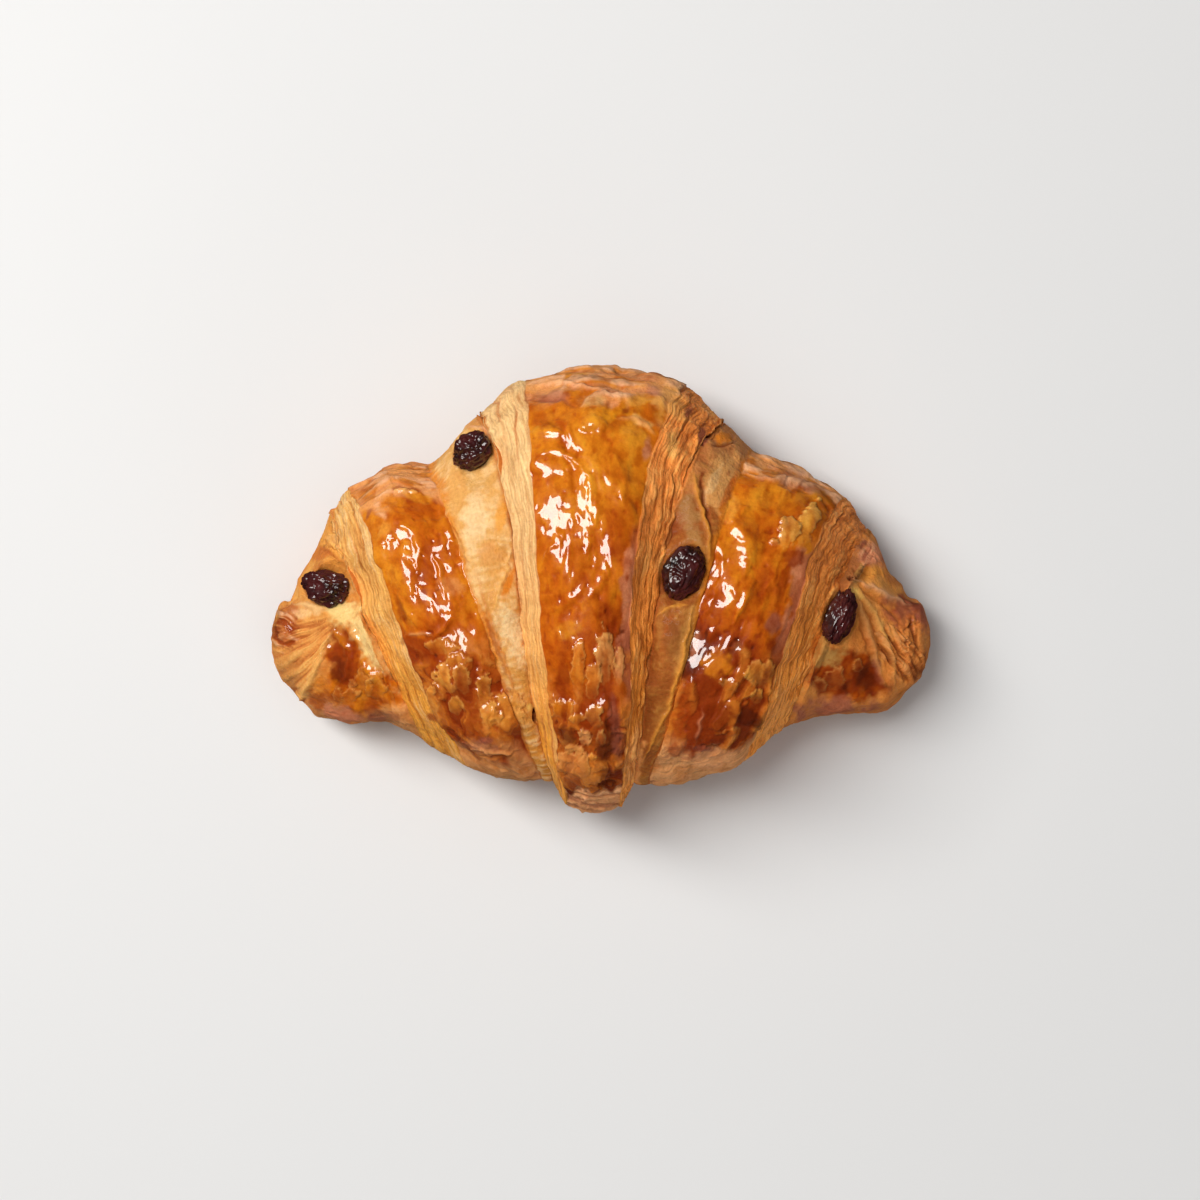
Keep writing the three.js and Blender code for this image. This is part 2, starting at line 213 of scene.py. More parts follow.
# Marks are placed as seen from above. Stains: centre, half size, turn, colour and strength
STAINS = {
    "middle": [
        ((-14.5, 41.5), (3, 2.8), 0, ORANGE, 0.8),
        ((-9.5, 40.5), (1.8, 1.6), 0, ORANGE, 0.6),
        ((5.8, 43.3), (2.9, 1.3), 0, RUST, 0.8),
        ((12, 43.5), (3, 2.4), 20, ORANGE, 0.8),
        ((9.6, 41), (3.8, 1.6), -22, STRAW, 0.7),
        ((8.5, 46), (3, 1.5), 10, GOLD, 0.8),
        ((-12.4, 47), (6, 2), 6, (0.5, 0.18, 0.09), 0.8),
        ((13.6, 48.2), (4.2, 1.5), -22, (0.52, 0.2, 0.11), 0.75),
        ((-2.6, 46.2), (4.4, 1.8), 0, (0.86, 0.46, 0.17), 0.75),
        ((2.2, 42.6), (4.4, 2.2), 0, (0.86, 0.32, 0.012), 0.8),
        ((7, 37.5), (4.6, 3.4), -10, HONEY, 0.9),
        ((11.2, 34.5), (1.4, 3.4), -5, ROSE, 0.9),
        ((5.5, 14), (3.5, 2.2), 15, ORANGE, 0.8),
        ((4, 9.5), (2.6, 3.4), 0, RUST, 0.4),
        ((6.4, 0), (1.7, 10.5), -5, ROSE, 0.95),
        ((6.3, 2.6), (0.8, 1.4), 0, RUST, 0.9),
        ((5.4, -10.2), (0.9, 0.6), 0, BURNT, 0.8),
        ((-7.5, -10), (4, 3), 20, HONEY, 0.5),
        ((-9, -20.5), (2.4, 5.4), 0, RUST, 0.75),
        ((-8.2, -34.5), (3, 2.4), 0, BURNT, 0.8),
        ((1.2, -37.6), (3.8, 8.5), -5, BURNT, 0.9),
        ((0.6, -28.5), (3.4, 5.5), 0, RUST, 0.75),
        ((3.4, -33), (1.8, 9), 4, MAUVE, 0.7),
    ],
    "left": [
        ((-50, 21.3), (3.6, 2.4), 0, AMBER, 0.8),
        ((-44, 22.5), (4.5, 1.6), -15, HONEY, 0.7),
        ((-52.5, 14.5), (2, 3), -20, GOLD, 0.6),
        ((-48.5, -4.5), (1.3, 4.2), 20, RUST, 0.7),
        ((-43.2, -1.5), (1.4, 2.4), -10, RUST, 0.7),
        ((-36.5, 1), (4, 3.2), 10, PEACH, 0.5),
        ((-44.5, -13), (4.2, 1.8), -10, RUST, 0.7),
        ((-30.5, -9.5), (2.4, 5), 20, ORANGE, 0.7),
        ((-31, -32.5), (3, 4), 10, RUST, 0.7),
        ((-29, -38), (6.5, 2.2), -8, (0.4, 0.14, 0.08), 0.6),
        ((-31.5, -27.5), (3.4, 3.4), 10, RUST, 0.6),
        ((-28, -36.2), (3.2, 1.3), 0, MAUVE, 0.9),
        ((-40.5, -31), (2.6, 1.6), -20, RUST, 0.8),
        ((-32, 40.3), (2.2, 1.4), 0, AMBER, 0.6),
        ((-28.5, 37), (1.4, 1.2), 0, PINK, 0.6),
        ((-30.4, 17), (4.4, 9), -10, (0.9, 0.64, 0.34), 0.75),
        ((-27, 8.5), (3.4, 3.6), 10, PEACH, 0.35),
        ((-24.2, 17), (1.6, 8), -8, GOLD, 0.8),
        # Painted shade on the shadowed facet beside the fold
        ((-22.3, 1.5), (1.3, 6.4), -20, AMBER, 0.9),
        ((-21.6, -11), (3.4, 10), 20, (0.88, 0.64, 0.34), 0.85),
        ((-18.2, -22.6), (1.8, 4.4), 20, (0.66, 0.32, 0.07), 0.85),
        ((-17.3, -28.4), (1, 1.6), 10, LEMON, 0.9),
        ((-25.4, -13.5), (1, 11), 20, RUST, 0.6),
        ((-56.2, 18.4), (0.7, 2), -25, MAUVE, 0.7),
    ],
    "right": [
        ((37.5, 22), (4.6, 3), -10, HONEY, 0.6),
        ((31.5, 19), (2.2, 4.5), -20, GOLD, 0.55),
        ((47, 19), (2, 2), 0, ORANGE, 0.7),
        ((47.6, 5.6), (2.3, 6.6), -15, ROSE, 0.95),
        ((46.2, 7.4), (4.2, 3.2), -10, RUST, 0.8),
        ((43.4, 0.5), (1.5, 6), -15, RUST, 0.5),
        ((41.6, -8.4), (2.1, 3.4), -10, MAUVE, 0.85),
        ((40.8, -13.6), (1.6, 2.4), 0, RUST, 0.8),
        ((44.6, -7), (1.5, 4), -15, ROSE, 0.8),
        ((28, -18), (4.8, 4.6), 0, AMBER, 0.75),
        ((27.6, -30.6), (6.6, 5), 10, (0.24, 0.03, 0.003), 0.85),
        ((35.2, -31), (3.6, 2.8), 20, BURNT, 0.8),
        ((20.3, -27.5), (2, 8), -8, RUST, 0.8),
        ((22.5, -14), (1.4, 5), -10, ROSE, 0.5),
        ((18, -38.2), (4.2, 1.9), 8, RUST, 0.7),
        ((27, -41), (8, 3.6), 8, (0.95, 0.43, 0.18), 0.7),
        ((25, -38.3), (3, 1), -8, MAUVE, 0.7),
        ((44, -30.5), (4.4, 10), -32, (1, 0.41, 0.1), 0.6),
        ((28.8, 26), (4.2, 10), -24, (0.84, 0.42, 0.13), 0.7),
        ((27.3, 26), (1.4, 5.4), -25, CREAM, 0.5),
        ((30.8, 23.5), (1, 5.5), -25, ORANGE, 0.7),
        ((30.2, 37.2), (2.8, 1.9), -10, AMBER, 0.9),
        ((47.5, 26.6), (9.5, 2.6), -24, (0.6, 0.25, 0.14), 0.7),
        ((20.4, -12), (2.2, 9), -14, (0.6, 0.3, 0.07), 0.5),
        ((15.6, -12), (1.6, 7), -12, TOAST, 0.6),
        # Painted shadow of the middle wrap on the dough beside it
        ((17.2, -12), (2.8, 6.5), -12, (0.27, 0.085, 0.018), 0.65),
    ],
    "horn_left": [
        ((-62.5, -5.5), (5.5, 3.6), 10, (0.9, 0.65, 0.25), 0.95),
        ((-55.8, -11.8), (4.8, 13), 32, (0.94, 0.66, 0.27), 0.9),
        ((-71.5, -5.5), (5.5, 2.2), 10, CREAM, 0.7),
        ((-67, -24.5), (3.2, 4.4), 20, AMBER, 0.6),
        ((-67.2, -27), (5.2, 3.4), 10, (0.34, 0.055, 0.003), 0.75),
        ((-61, -30.5), (10, 2.6), -10, (0.54, 0.18, 0.09), 0.9),
        ((-53.4, -30.6), (5.6, 2.2), -8, (0.3, 0.075, 0.03), 0.65),
        ((-76, -9.5), (4.8, 7.4), -20, (0.5, 0.14, 0.035), 0.85),
        ((-75.8, -18.6), (3.8, 5.6), 0, (0.6, 0.25, 0.06), 0.6),
        ((-66, 11.5), (8, 9.5), 30, (0.78, 0.33, 0.06), 0.85),
        ((-68, 8.4), (3.2, 2.2), 20, (0.6, 0.15, 0.02), 0.75),
    ],
    "horn_right": [
        ((65.6, 8.8), (6.4, 4.6), -15, (0.66, 0.24, 0.12), 0.9),
        ((68.2, 7.4), (1.1, 2), -10, RUST, 0.7),
        ((66.5, 4), (3.5, 2.4), 10, GOLD, 0.5),
        ((62.6, 4.4), (3.2, 2.6), 10, OLIVE, 0.75),
        ((67.6, 0.8), (6.4, 3), -25, (0.86, 0.37, 0.075), 0.75),
        ((61.5, -0.8), (2.6, 1.3), -50, LEMON, 0.9),
        ((74.2, -5.6), (7.6, 5), -25, (0.45, 0.11, 0.05), 0.92),
        ((75.6, -14.6), (4.6, 7), -5, (0.5, 0.16, 0.05), 0.5),
        ((72.6, -2), (1.7, 0.8), -20, RUST, 0.8),
        ((76.8, -5.2), (3.6, 3.4), -30, MAUVE, 0.85),
        ((55.2, -16.4), (4.4, 2.8), 10, (0.5, 0.26, 0.07), 0.9),
        ((66.8, -19), (1.4, 4), 10, MAUVE, 0.7),
        ((62, -11), (1.6, 4.5), 10, CARAMEL, 0.4),
        ((58, -30.4), (17, 5.6), -4, (0.42, 0.125, 0.062), 0.95),
        ((73.5, -15), (5.5, 10.5), -10, SIENNA, 0.7),
        ((70, 4), (4, 4), 0, TOAST, 0.45),
        ((60, 5.6), (3.4, 8.5), -22, (0.36, 0.12, 0.035), 0.9),
        ((51.6, -15.6), (2.6, 8.5), -22, (0.56, 0.28, 0.07), 0.85),
    ],
    "right_step": [
        ((17.5, 35), (1.8, 5), -5, STRAW, 0.8),
        ((17, 45.5), (5, 6), -20, (0.86, 0.42, 0.11), 0.7),
        ((21.6, 43.4), (1.2, 2.6), -30, MAUVE, 0.8),
        ((24.9, 37.3), (1.3, 3.6), -12, MAUVE, 0.85),
        ((21.4, 17), (3.2, 7.6), 12, (0.4, 0.2, 0.062), 0.8),
        # Painted shadow: brown at the foot of the middle wrap's cut side, and beside a ridge
        ((16.5, 13), (1.6, 5), -25, BROWN, 0.8),
        ((24.2, 26.5), (0.8, 3), -10, BROWN, 0.9),
        ((7.6, -41.5), (2.8, 10), -10, (0.98, 0.43, 0.13), 0.75),
    ],
}

# Flakes: centre, half size, turn, how high they stand and colour
FLAKES = {
    "middle": [
        ((-5.4, -19.4), (1.7, 6.5), -4, 0.4, (0.74, 0.24, 0.03)),
        ((-2.2, -22.8), (1.8, 5.8), -8, 0.35, (0.7, 0.23, 0.035)),
        ((1, -16.4), (2.6, 7), 4, 0.45, (0.8, 0.36, 0.1)),
        ((4.2, -19), (1.3, 5), 0, 0.35, (0.76, 0.31, 0.09)),
        ((-9.3, -28.9), (2.7, 2.8), 10, 0.4, AMBER),
        ((-5.6, -31.2), (1.8, 1.3), 0, 0.35, BRONZE),
        ((-1.5, -30.4), (1.9, 2.9), -8, 0.4, (0.6, 0.22, 0.04)),
        ((0, -35.4), (1.2, 2.2), 0, 0.3, TOAST),
        ((-3.8, -36), (1.8, 2.4), -6, 0.5, PEACH),
        ((-2.3, -40.2), (1.2, 1.1), 0, 0.4, MARIGOLD),
        ((-6.2, -42.2), (3.4, 4.8), 12, 0.4, (0.68, 0.25, 0.06)),
    ],
    "left": [
        ((-48.5, 23.8), (1.8, 0.7), 0, 0.4, STRAW),
        ((-45.3, 23.7), (1.4, 0.6), 0, 0.4, STRAW),
        ((-38, -14), (4.5, 1.8), -8, 0.3, BRONZE),
        ((-35.3, -17.2), (3.4, 1.9), 0, 0.4, COPPER),
        ((-37.8, -22), (2.2, 4.4), 5, 0.4, MARIGOLD),
        ((-33.6, -21.5), (1.8, 3.8), 8, 0.35, COPPER),
        ((-40, -26.5), (1.3, 4), 15, 0.35, MARIGOLD),
        ((-28.4, -24.4), (2.1, 4.4), 0, 0.4, BRONZE),
        ((-22.3, -30.6), (4.2, 5), 10, 0.35, BRONZE),
        ((-26.8, -30.4), (2.4, 3.2), 0, 0.45, MARIGOLD),
        ((-35, -28), (1.6, 3), 10, 0.3, BRONZE),
    ],
    "right": [
        ((45.3, 13.8), (2.8, 3.4), -10, 0.6, (1, 0.66, 0.16)),
        ((50.2, 16.2), (2.2, 5.4), -18, 0.6, (0.98, 0.54, 0.11)),
        ((42, 11.2), (1.2, 0.8), -20, 0.5, STRAW),
        ((38.4, -20.2), (3.6, 3.4), 30, 0.4, MARIGOLD),
        ((37.6, -25.6), (1.4, 1.6), 0, 0.4, MARIGOLD),
        ((31.2, -23.2), (2.2, 1.5), -20, 0.35, (0.5, 0.15, 0.016)),
        ((31.5, -34.2), (2.2, 0.9), 15, 0.3, ORANGE),
    ],
    "horn_left": [
        ((-57.2, -23), (2.3, 4), 8, 0.35, GINGER),
        ((-60.4, -25.4), (2, 3), -10, 0.35, UMBER),
        ((-54.2, -24), (2.2, 4.2), 10, 0.4, AMBER),
        ((-63.4, -26), (1.1, 2.6), 0, 0.35, UMBER),
    ],
    "horn_right": [
        ((62.2, -18.6), (1.2, 1.8), 20, 0.4, (0.46, 0.1, 0.014)),
        ((56.4, -21.6), (2.6, 3), 0, 0.3, (0.42, 0.09, 0.013)),
        ((52.6, -23.4), (1.8, 2.2), -10, 0.3, (0.4, 0.08, 0.012)),
    ],
}

# Smooth places of the glaze, where it mirrors the window whole: centre, half size and turn
CALM = {
    "middle": [((-12.2, 21), (4.8, 9), 0)],
    "left": [((-48.6, 6), (5.6, 7.5), -10)],
    "right": [((31.8, 9.6), (3.8, 7), -5)],
}

# Ridges of the glaze, which mirror the window in streaks: points, width and height
GLOSS_RIDGES = {
    "middle": [
        ([(-17, 30), (-12.6, 31), (-8.4, 29.6)], 3.6, 1.1),
        ([(-17.4, 37.4), (-13.4, 38.8), (-9.4, 37.6)], 1.6, 0.8),
        ([(-5.4, 39), (-1.8, 41), (1.8, 39)], 1.7, 0.9),
        ([(4.6, 36), (7.4, 37.6), (10.2, 35.8)], 1.5, 0.7),
        ([(-15.2, 31), (-13, 33.8), (-9.6, 33.4), (-6.6, 31.4), (-4.6, 29.2)], 0.9, 0.5),
        ([(-5, 29.8), (-2.6, 27), (-2.4, 22.4), (-0.8, 19.6), (-1.6, 15.6)], 1.3, 0.6),
        ([(2.2, 33.4), (4.6, 30.6), (5.5, 27), (5.5, 21)], 1, 0.5),
        ([(-14.4, 6.2), (-11.6, 10.4), (-8.8, 14.2)], 0.9, 0.5),
        ([(-7.4, 12.6), (-7.8, 7.2), (-9.4, 2.2)], 0.9, 0.5),
        ([(1, 6.6), (1.2, 3), (-2.4, -1.6)], 1.3, 0.6),
        ([(-12.8, -5.6), (-8.4, -3.6), (-4.4, 0.2)], 1.2, 0.6),
        ([(-3, 13.2), (-3.3, 7.8)], 0.8, 0.4),
        ([(-6.6, 29), (-5.8, 21), (-6.4, 14)], 1, -0.35),
    ],
    "left": [
        ([(-49.8, 15.4), (-45.6, 15), (-43.6, 10.6), (-44.6, 4)], 1, 0.4),
        ([(-53.6, -1), (-54.4, 6), (-53, 13.4)], 3.4, 1.1),
        ([(-47.8, -0.4), (-48.4, 5), (-47, 11.4)], 2.2, 0.7),
        ([(-39, 19.4), (-37.2, 15.4), (-35.4, 11)], 1, 0.5),
        ([(-40.6, 8), (-38.4, 3.6), (-37.4, -1.8)], 0.9, 0.5),
        ([(-40.8, -12.4), (-37.6, -8.4), (-34.8, -3.6)], 1.2, 0.6),
        ([(-48.8, -0.8), (-47, -5.4), (-44.6, -8.6)], 0.9, 0.45),
    ],
    "right": [
        ([(31.6, 16.6), (35, 13.6), (35.6, 8), (34.6, 3)], 2.3, 1.3),
        ([(28.6, 12), (29.6, 7.6), (29, 3.4)], 1, 0.4),
        ([(24.4, -7.6), (26.8, -2.2), (29.4, 3.2)], 0.9, 0.55),
        ([(32, -8.4), (34.8, -2.4), (36.8, 3.6)], 1.1, 0.6),
        ([(32.9, 2.6), (32.6, -2.2)], 0.7, 0.4),
        ([(35.4, 20.6), (34, 18.4)], 0.9, 0.4),
        ([(26.2, -12.4), (27.6, -9)], 0.8, 0.4),
    ],
}

# Creases and ridges: points, width, height and colour. Raised ones are mostly light and sunk ones
# mostly dark, so their colours hold painted highlight along the ridges and painted shade in the
# grooves as well as the crust's own tones
CREASES = {
    "middle": [
        ([(-17, 46), (-13.5, 46.8), (-9, 46.4), (-6, 44.6)], 0.6, -0.5, MAUVE),
        ([(-17.5, 49), (-11, 50.4), (-5, 50.2), (1.5, 48.4), (6, 49.4)], 0.5, 0.6, PINK),
        ([(-5, 44.8), (-2.6, 46.8), (0.5, 48), (3, 49.2)], 0.5, 0.6, PINK),
        ([(0.5, 48.4), (3, 48.2), (5, 48.8)], 0.5, -0.6, MAUVE),
        ([(4, 41.2), (7, 41.8), (10.5, 40.4), (13, 37.4)], 0.6, 0.5, PEACH),
        ([(0.4, -7.6), (2.4, -10.2), (5, -10.8)], 0.4, -0.4, RUST),
    ],
    "left": [
        ([(-38.9, 24.5), (-36.2, 17), (-33.6, 11), (-30.6, 5)], 0.6, 0.6, GOLD),
        ([(-36.8, 18), (-34.6, 12.8), (-31.6, 6.5)], 0.35, -0.5, RUST),
        ([(-36, 14.6), (-33.6, 10.2), (-31, 6.8), (-28, 5.2)], 0.45, 0.4, STRAW),
        ([(-30.4, 4.6), (-27.2, -5), (-24.2, -15), (-20.4, -26), (-18, -31.5)], 0.5, 0.4, CARAMEL),
        ([(-21.6, 10), (-23.2, 3.5), (-24.9, -1.5), (-26.2, -5.6)], 0.45, 0.6, STRAW),
        ([(-23.4, 29), (-21.8, 19), (-20.4, 10), (-19.2, 2)], 0.4, -0.5, RUST),
        ([(-34.6, 39.6), (-31.4, 40.6), (-27.8, 39.2), (-25.8, 35.6)], 0.5, 0.3, PINK),
        ([(-31.5, -38.4), (-28, -38.2), (-24, -39.4), (-19, -38)], 0.5, 0.6, PEACH),
        ([(-29, -39.6), (-25, -40.6), (-21, -39.6)], 0.5, -0.7, BROWN),
        ([(-47.2, -10.8), (-44, -11), (-40.4, -10.8)], 0.4, 0.4, PEACH),
    ],
    "right": [
        ([(22.6, -3), (20.4, -12), (18.4, -22), (16, -29.5), (12.5, -36), (9.8, -42.5)], 0.6, 0.6, GOLD),
        ([(13.5, -7), (15.5, -4.8), (18.5, -4), (21.5, -3.4)], 0.35, 0.4, GOLD),
        ([(27, 35.2), (30, 35), (33.4, 36.2)], 0.4, -0.6, BROWN),
        ([(33.5, 28.6), (38, 27.4), (43, 26.8), (50, 25.6), (56, 26)], 0.6, 0.5, PINK),
        ([(42, 25.6), (45.5, 24.8), (50, 23.6)], 0.5, -0.4, CARAMEL),
        ([(23.5, -37.8), (26, -37.8), (28.6, -38.8)], 0.35, -0.6, BURNT),
        ([(22.8, -36.8), (24.4, -31), (24.6, -28.5)], 0.4, 0.4, ROSE),
    ],
    "horn_left": [
        ([(-60.6, -15), (-62.4, -12), (-64.6, -9.6)], 0.9, 0.75, AMBER),
        ([(-57.4, -14.4), (-59.4, -11.2), (-61.4, -8.8)], 0.9, 0.75, AMBER),
        ([(-54, -22.6), (-56, -19.6), (-58, -17.4)], 0.9, 0.7, HONEY),
        ([(-63.4, -23.4), (-61.4, -19.6), (-60.2, -15.6)], 0.8, 0.45, RUST),
        ([(-73.4, -28.4), (-70.3, -21.9), (-67.4, -15.8), (-64, -8.6)], 0.8, 0.8, STRAW),
        ([(-74.6, -3.4), (-71, -3.8), (-67, -4.4)], 0.6, 0.5, CREAM),
        ([(-68, 13.6), (-63.8, 10.2), (-60.6, 5.6), (-58.4, -0.4)], 0.5, 0.5, STRAW),
        ([(-66.4, 16), (-62.2, 12.2), (-59.2, 7), (-57.2, 0.6)], 0.4, -0.5, TOAST),
        ([(-64.4, 18.4), (-60.8, 14), (-58, 8.6)], 0.4, 0.4, CREAM),
        ([(-69.4, 10.8), (-66, 9), (-62.4, 6.6)], 0.4, -0.3, TOAST),
    ],
    "horn_right": [
        ([(60.4, 2), (63.2, -1.8), (66.6, -6.6), (69, -12), (70.4, -18.5), (70.8, -24)], 0.8, 0.7, STRAW),
        ([(60, 1.4), (62.4, -4), (64.6, -10), (66.4, -16), (68.2, -23)], 0.7, 0.6, PEACH),
        ([(61, -2), (62.6, -7), (64, -13), (65.6, -18)], 0.5, -0.5, TOAST),
        ([(61.6, -1.2), (65, -6.4), (67.2, -12), (69.2, -20)], 0.5, -0.5, TOAST),
        ([(61, 2.4), (66, 0.4), (70, -2), (73, -3.6), (75.2, -3.6)], 0.7, 0.7, PINK),
        ([(62, 0.6), (66.5, -2.2), (70.4, -5.6), (72.6, -9.4)], 0.6, -0.5, CARAMEL),
        ([(73.4, -10), (75.2, -8.6), (76.8, -7.8)], 0.4, -0.8, BURNT),
    ],
    "right_step": [
        ([(22, 29.5), (23, 24), (24.8, 18), (26.2, 12), (26, 6)], 0.6, 0.8, GOLD),
        ([(24.2, 27.5), (25.2, 20.5), (27, 14)], 0.5, -0.7, BROWN),
        ([(24, 40.5), (23.2, 33), (20, 24), (16.5, 16), (14.6, 8)], 0.45, 0.5, TAN),
    ],
}

# The raisins, and the share of each solid's length, width and depth that its wrinkled raisin fills
RAISIN_FILL = {
    "raisin_left_end": (0.97, 0.95, 1),
    "raisin_left_step": (0.95, 0.88, 1),
    "raisin_right_step": (0.88, 0.87, 0.95),
    "raisin_right_end": (0.96, 0.86, 0.95),
}

# How far the lobes of the shrunken raisins on the left and of the plump ones on the right stand out
LEFT_LOBES, RIGHT_LOBES = 0.12, 0.06

# The dough round a raisin, in shares of its half width: where the dent ends and is full, and its rim
DENT_END, DENT_FULL = 2.6, 1.7
RIM_PLACE, RIM_WIDTH, RIM_HEIGHT = 1.25, 0.14, 0.3

# Random values on a lattice, from which all the noise is made, and how far a seed moves the lattice
LATTICE_SIZE = 64
SEED_SHIFT = (17.3, 9.1, 5.7)
LATTICE = np.random.default_rng(11).uniform(-1, 1, (LATTICE_SIZE,) * 3).astype(np.float32)

# Each octave of roughness is this much finer and this much weaker than the one before
FINER, WEAKER = 2.03, 1.8


def smooth(low, high, value):
    share = np.clip((value - low) / (high - low), 0, 1)
    return share * share * (3 - 2 * share)


def mix(first, second, share):
    return first + (second - first) * share


def noise(x, y, z=0.0, seed=0):
    """Smooth random values from -1 to 1, with a grain of about 1."""
    axes = np.broadcast_arrays(*[axis + shift * seed for axis, shift in zip((x, y, z), SEED_SHIFT)])
    low, share = [], []
    for axis in axes:
        floor = np.floor(axis)
        rest = axis - floor
        low.append(floor.astype(np.int64) % LATTICE_SIZE)
        share.append(rest**3 * (rest * (6 * rest - 15) + 10))
    high = [(i + 1) % LATTICE_SIZE for i in low]
    edges = []
    for i in (low[0], high[0]):
        near = mix(LATTICE[i, low[1], low[2]], LATTICE[i, high[1], low[2]], share[1])
        far = mix(LATTICE[i, low[1], high[2]], LATTICE[i, high[1], high[2]], share[1])
        edges.append(mix(near, far, share[2]))
    return mix(edges[0], edges[1], share[0])


def rough(x, y, z=0.0, seed=0, octaves=3):
    """Noise with finer noise on it."""
    total = 0
    for octave in range(octaves):
        scale = FINER**octave
        total = total + noise(x * scale, y * scale, z * scale, seed + octave) / WEAKER**octave
    return total


def ramp(stops, value):
    """Colours at the given values, between the colours of the stops."""
    places = [place for place, _ in stops]
    channels = [np.interp(value, places, [colour[i] for _, colour in stops]) for i in range(3)]
    return np.stack(channels, -1)


def spindle(x, key):
    """A size of the spindle at X, on a smooth curve through its stations."""
    stations = np.array(SPINDLE_FROM, float)
    values = np.array(SPINDLE[key], float)
    spans = np.diff(stations)
    rises = np.diff(values) / spans
    slopes = np.zeros(len(values))
    slopes[-1] = rises[-1]
    for i in range(1, len(values) - 1):
        if rises[i - 1] * rises[i] > 0:
            slopes[i] = 2 * rises[i - 1] * rises[i] / (rises[i - 1] + rises[i])
    where = np.minimum(np.abs(x), HALF_LENGTH)
    i = np.clip(np.searchsorted(stations, where, side="right") - 1, 0, len(spans) - 1)
    t = (where - stations[i]) / spans[i]
    return (
        (1 + 2 * t) * (1 - t) ** 2 * values[i]
        + t * (1 - t) ** 2 * slopes[i] * spans[i]
        + t * t * (3 - 2 * t) * values[i + 1]
        + t * t * (t - 1) * slopes[i + 1] * spans[i]
    )


def round_section(three, side, bend=0):
    """A value given at the front, on top and at the back, for the cosine of the angle."""
    front, top, back = three
    curve = (front + back) / 2 - top
    slope = (front - back) / 2 - bend
    return top + slope * side + curve * side**2 + bend * side**3


def lumps(place):
    total = 0
    for direction, wavelength, height, phase in LUMPS:
        unit = np.array(direction) / np.linalg.norm(direction)
        total = total + height * np.sin(place @ unit * 2 * np.pi / wavelength + phase)
    return total


def dough_point(x, angle, off):
    """The point of the dough at X and at an angle round the section, off the spindle.

    Edges that are tucked in deep stay a little above the base, so that no two wraps share a surface.
    """
    side, rise = np.cos(angle), np.sin(angle)
    closing = np.maximum(0, np.abs(x) - CAP_START) / (HALF_LENGTH - CAP_START)
    cap = np.sqrt(np.clip(1 - closing**2, 0, 1))
    base, top = spindle(x, "lift"), spindle(x, "top")
    middle = base + MIDDLE_SHARE * (top - base)
    half_width = spindle(x, "half_width")
    half_height = np.where(rise > 0, top - middle, (middle - base) * UNDER_DEPTH)
    across = np.sign(side) * np.abs(side) ** SIDE_FULLNESS
    up = np.sign(rise) * np.abs(rise) ** SIDE_FULLNESS
    out_y, out_z = -half_height * side, half_width * rise
    length = np.hypot(out_y, out_z)
    y = spindle(x, "centre") - half_width * cap * across
    z = middle + half_height * cap * up
    stand = (off + lumps(np.stack([x, y, z], -1))) * cap
    tucked_in = 0.1 * np.maximum(0, -off - 2)
    z = np.maximum(tucked_in, z + out_z / length * stand)
    return np.stack([x, y + out_y / length * stand, z], -1)


def grid_normals(place):
    """Outward unit normals of a grid whose rows run round the section."""
    along = np.roll(place, -1, 0) - np.roll(place, 1, 0)
    across = np.gradient(place, axis=1)
    normal = np.cross(across, along)
    return normal / np.maximum(np.linalg.norm(normal, axis=-1, keepdims=True), 1e-9)


def row_angles(rows, underneath=0.22):
    """Angles round the section in radians, closer together on top than underneath."""
    fine = np.linspace(-90, 270, 3601)
    density = mix(underneath, 1, smooth(-30, -5, fine) * (1 - smooth(185, 215, fine)))
    total = np.concatenate([[0], np.cumsum((density[1:] + density[:-1]) / 2)])
    return np.radians(np.interp(np.arange(rows) / rows * total[-1], total, fine))


def tucked(line, tuck, sign=1):
    """The same line moved along X and inwards, for an edge that lies under another wrap."""
    places, bend, offs = line
    x, depth = tuck
    return tuple(p + sign * x for p in places), bend, tuple(o - depth for o in offs)


def curve_through(points, spacing=0.3, rounds=4):
    """Closely spaced points on a smooth curve near the given ones."""
    points = np.array(points, float)
    for _ in range(rounds):
        cuts = [0.75 * points[:-1] + 0.25 * points[1:], 0.25 * points[:-1] + 0.75 * points[1:]]
        cut = np.stack(cuts, 1).reshape(-1, 2)
        points = np.concatenate([points[:1], cut, points[-1:]])
    length = np.concatenate([[0], np.cumsum(np.linalg.norm(np.diff(points, axis=0), axis=1))])
    steps = np.linspace(0, length[-1], int(length[-1] / spacing) + 2)
    return np.stack([np.interp(steps, length, points[:, i]) for i in range(2)], -1)


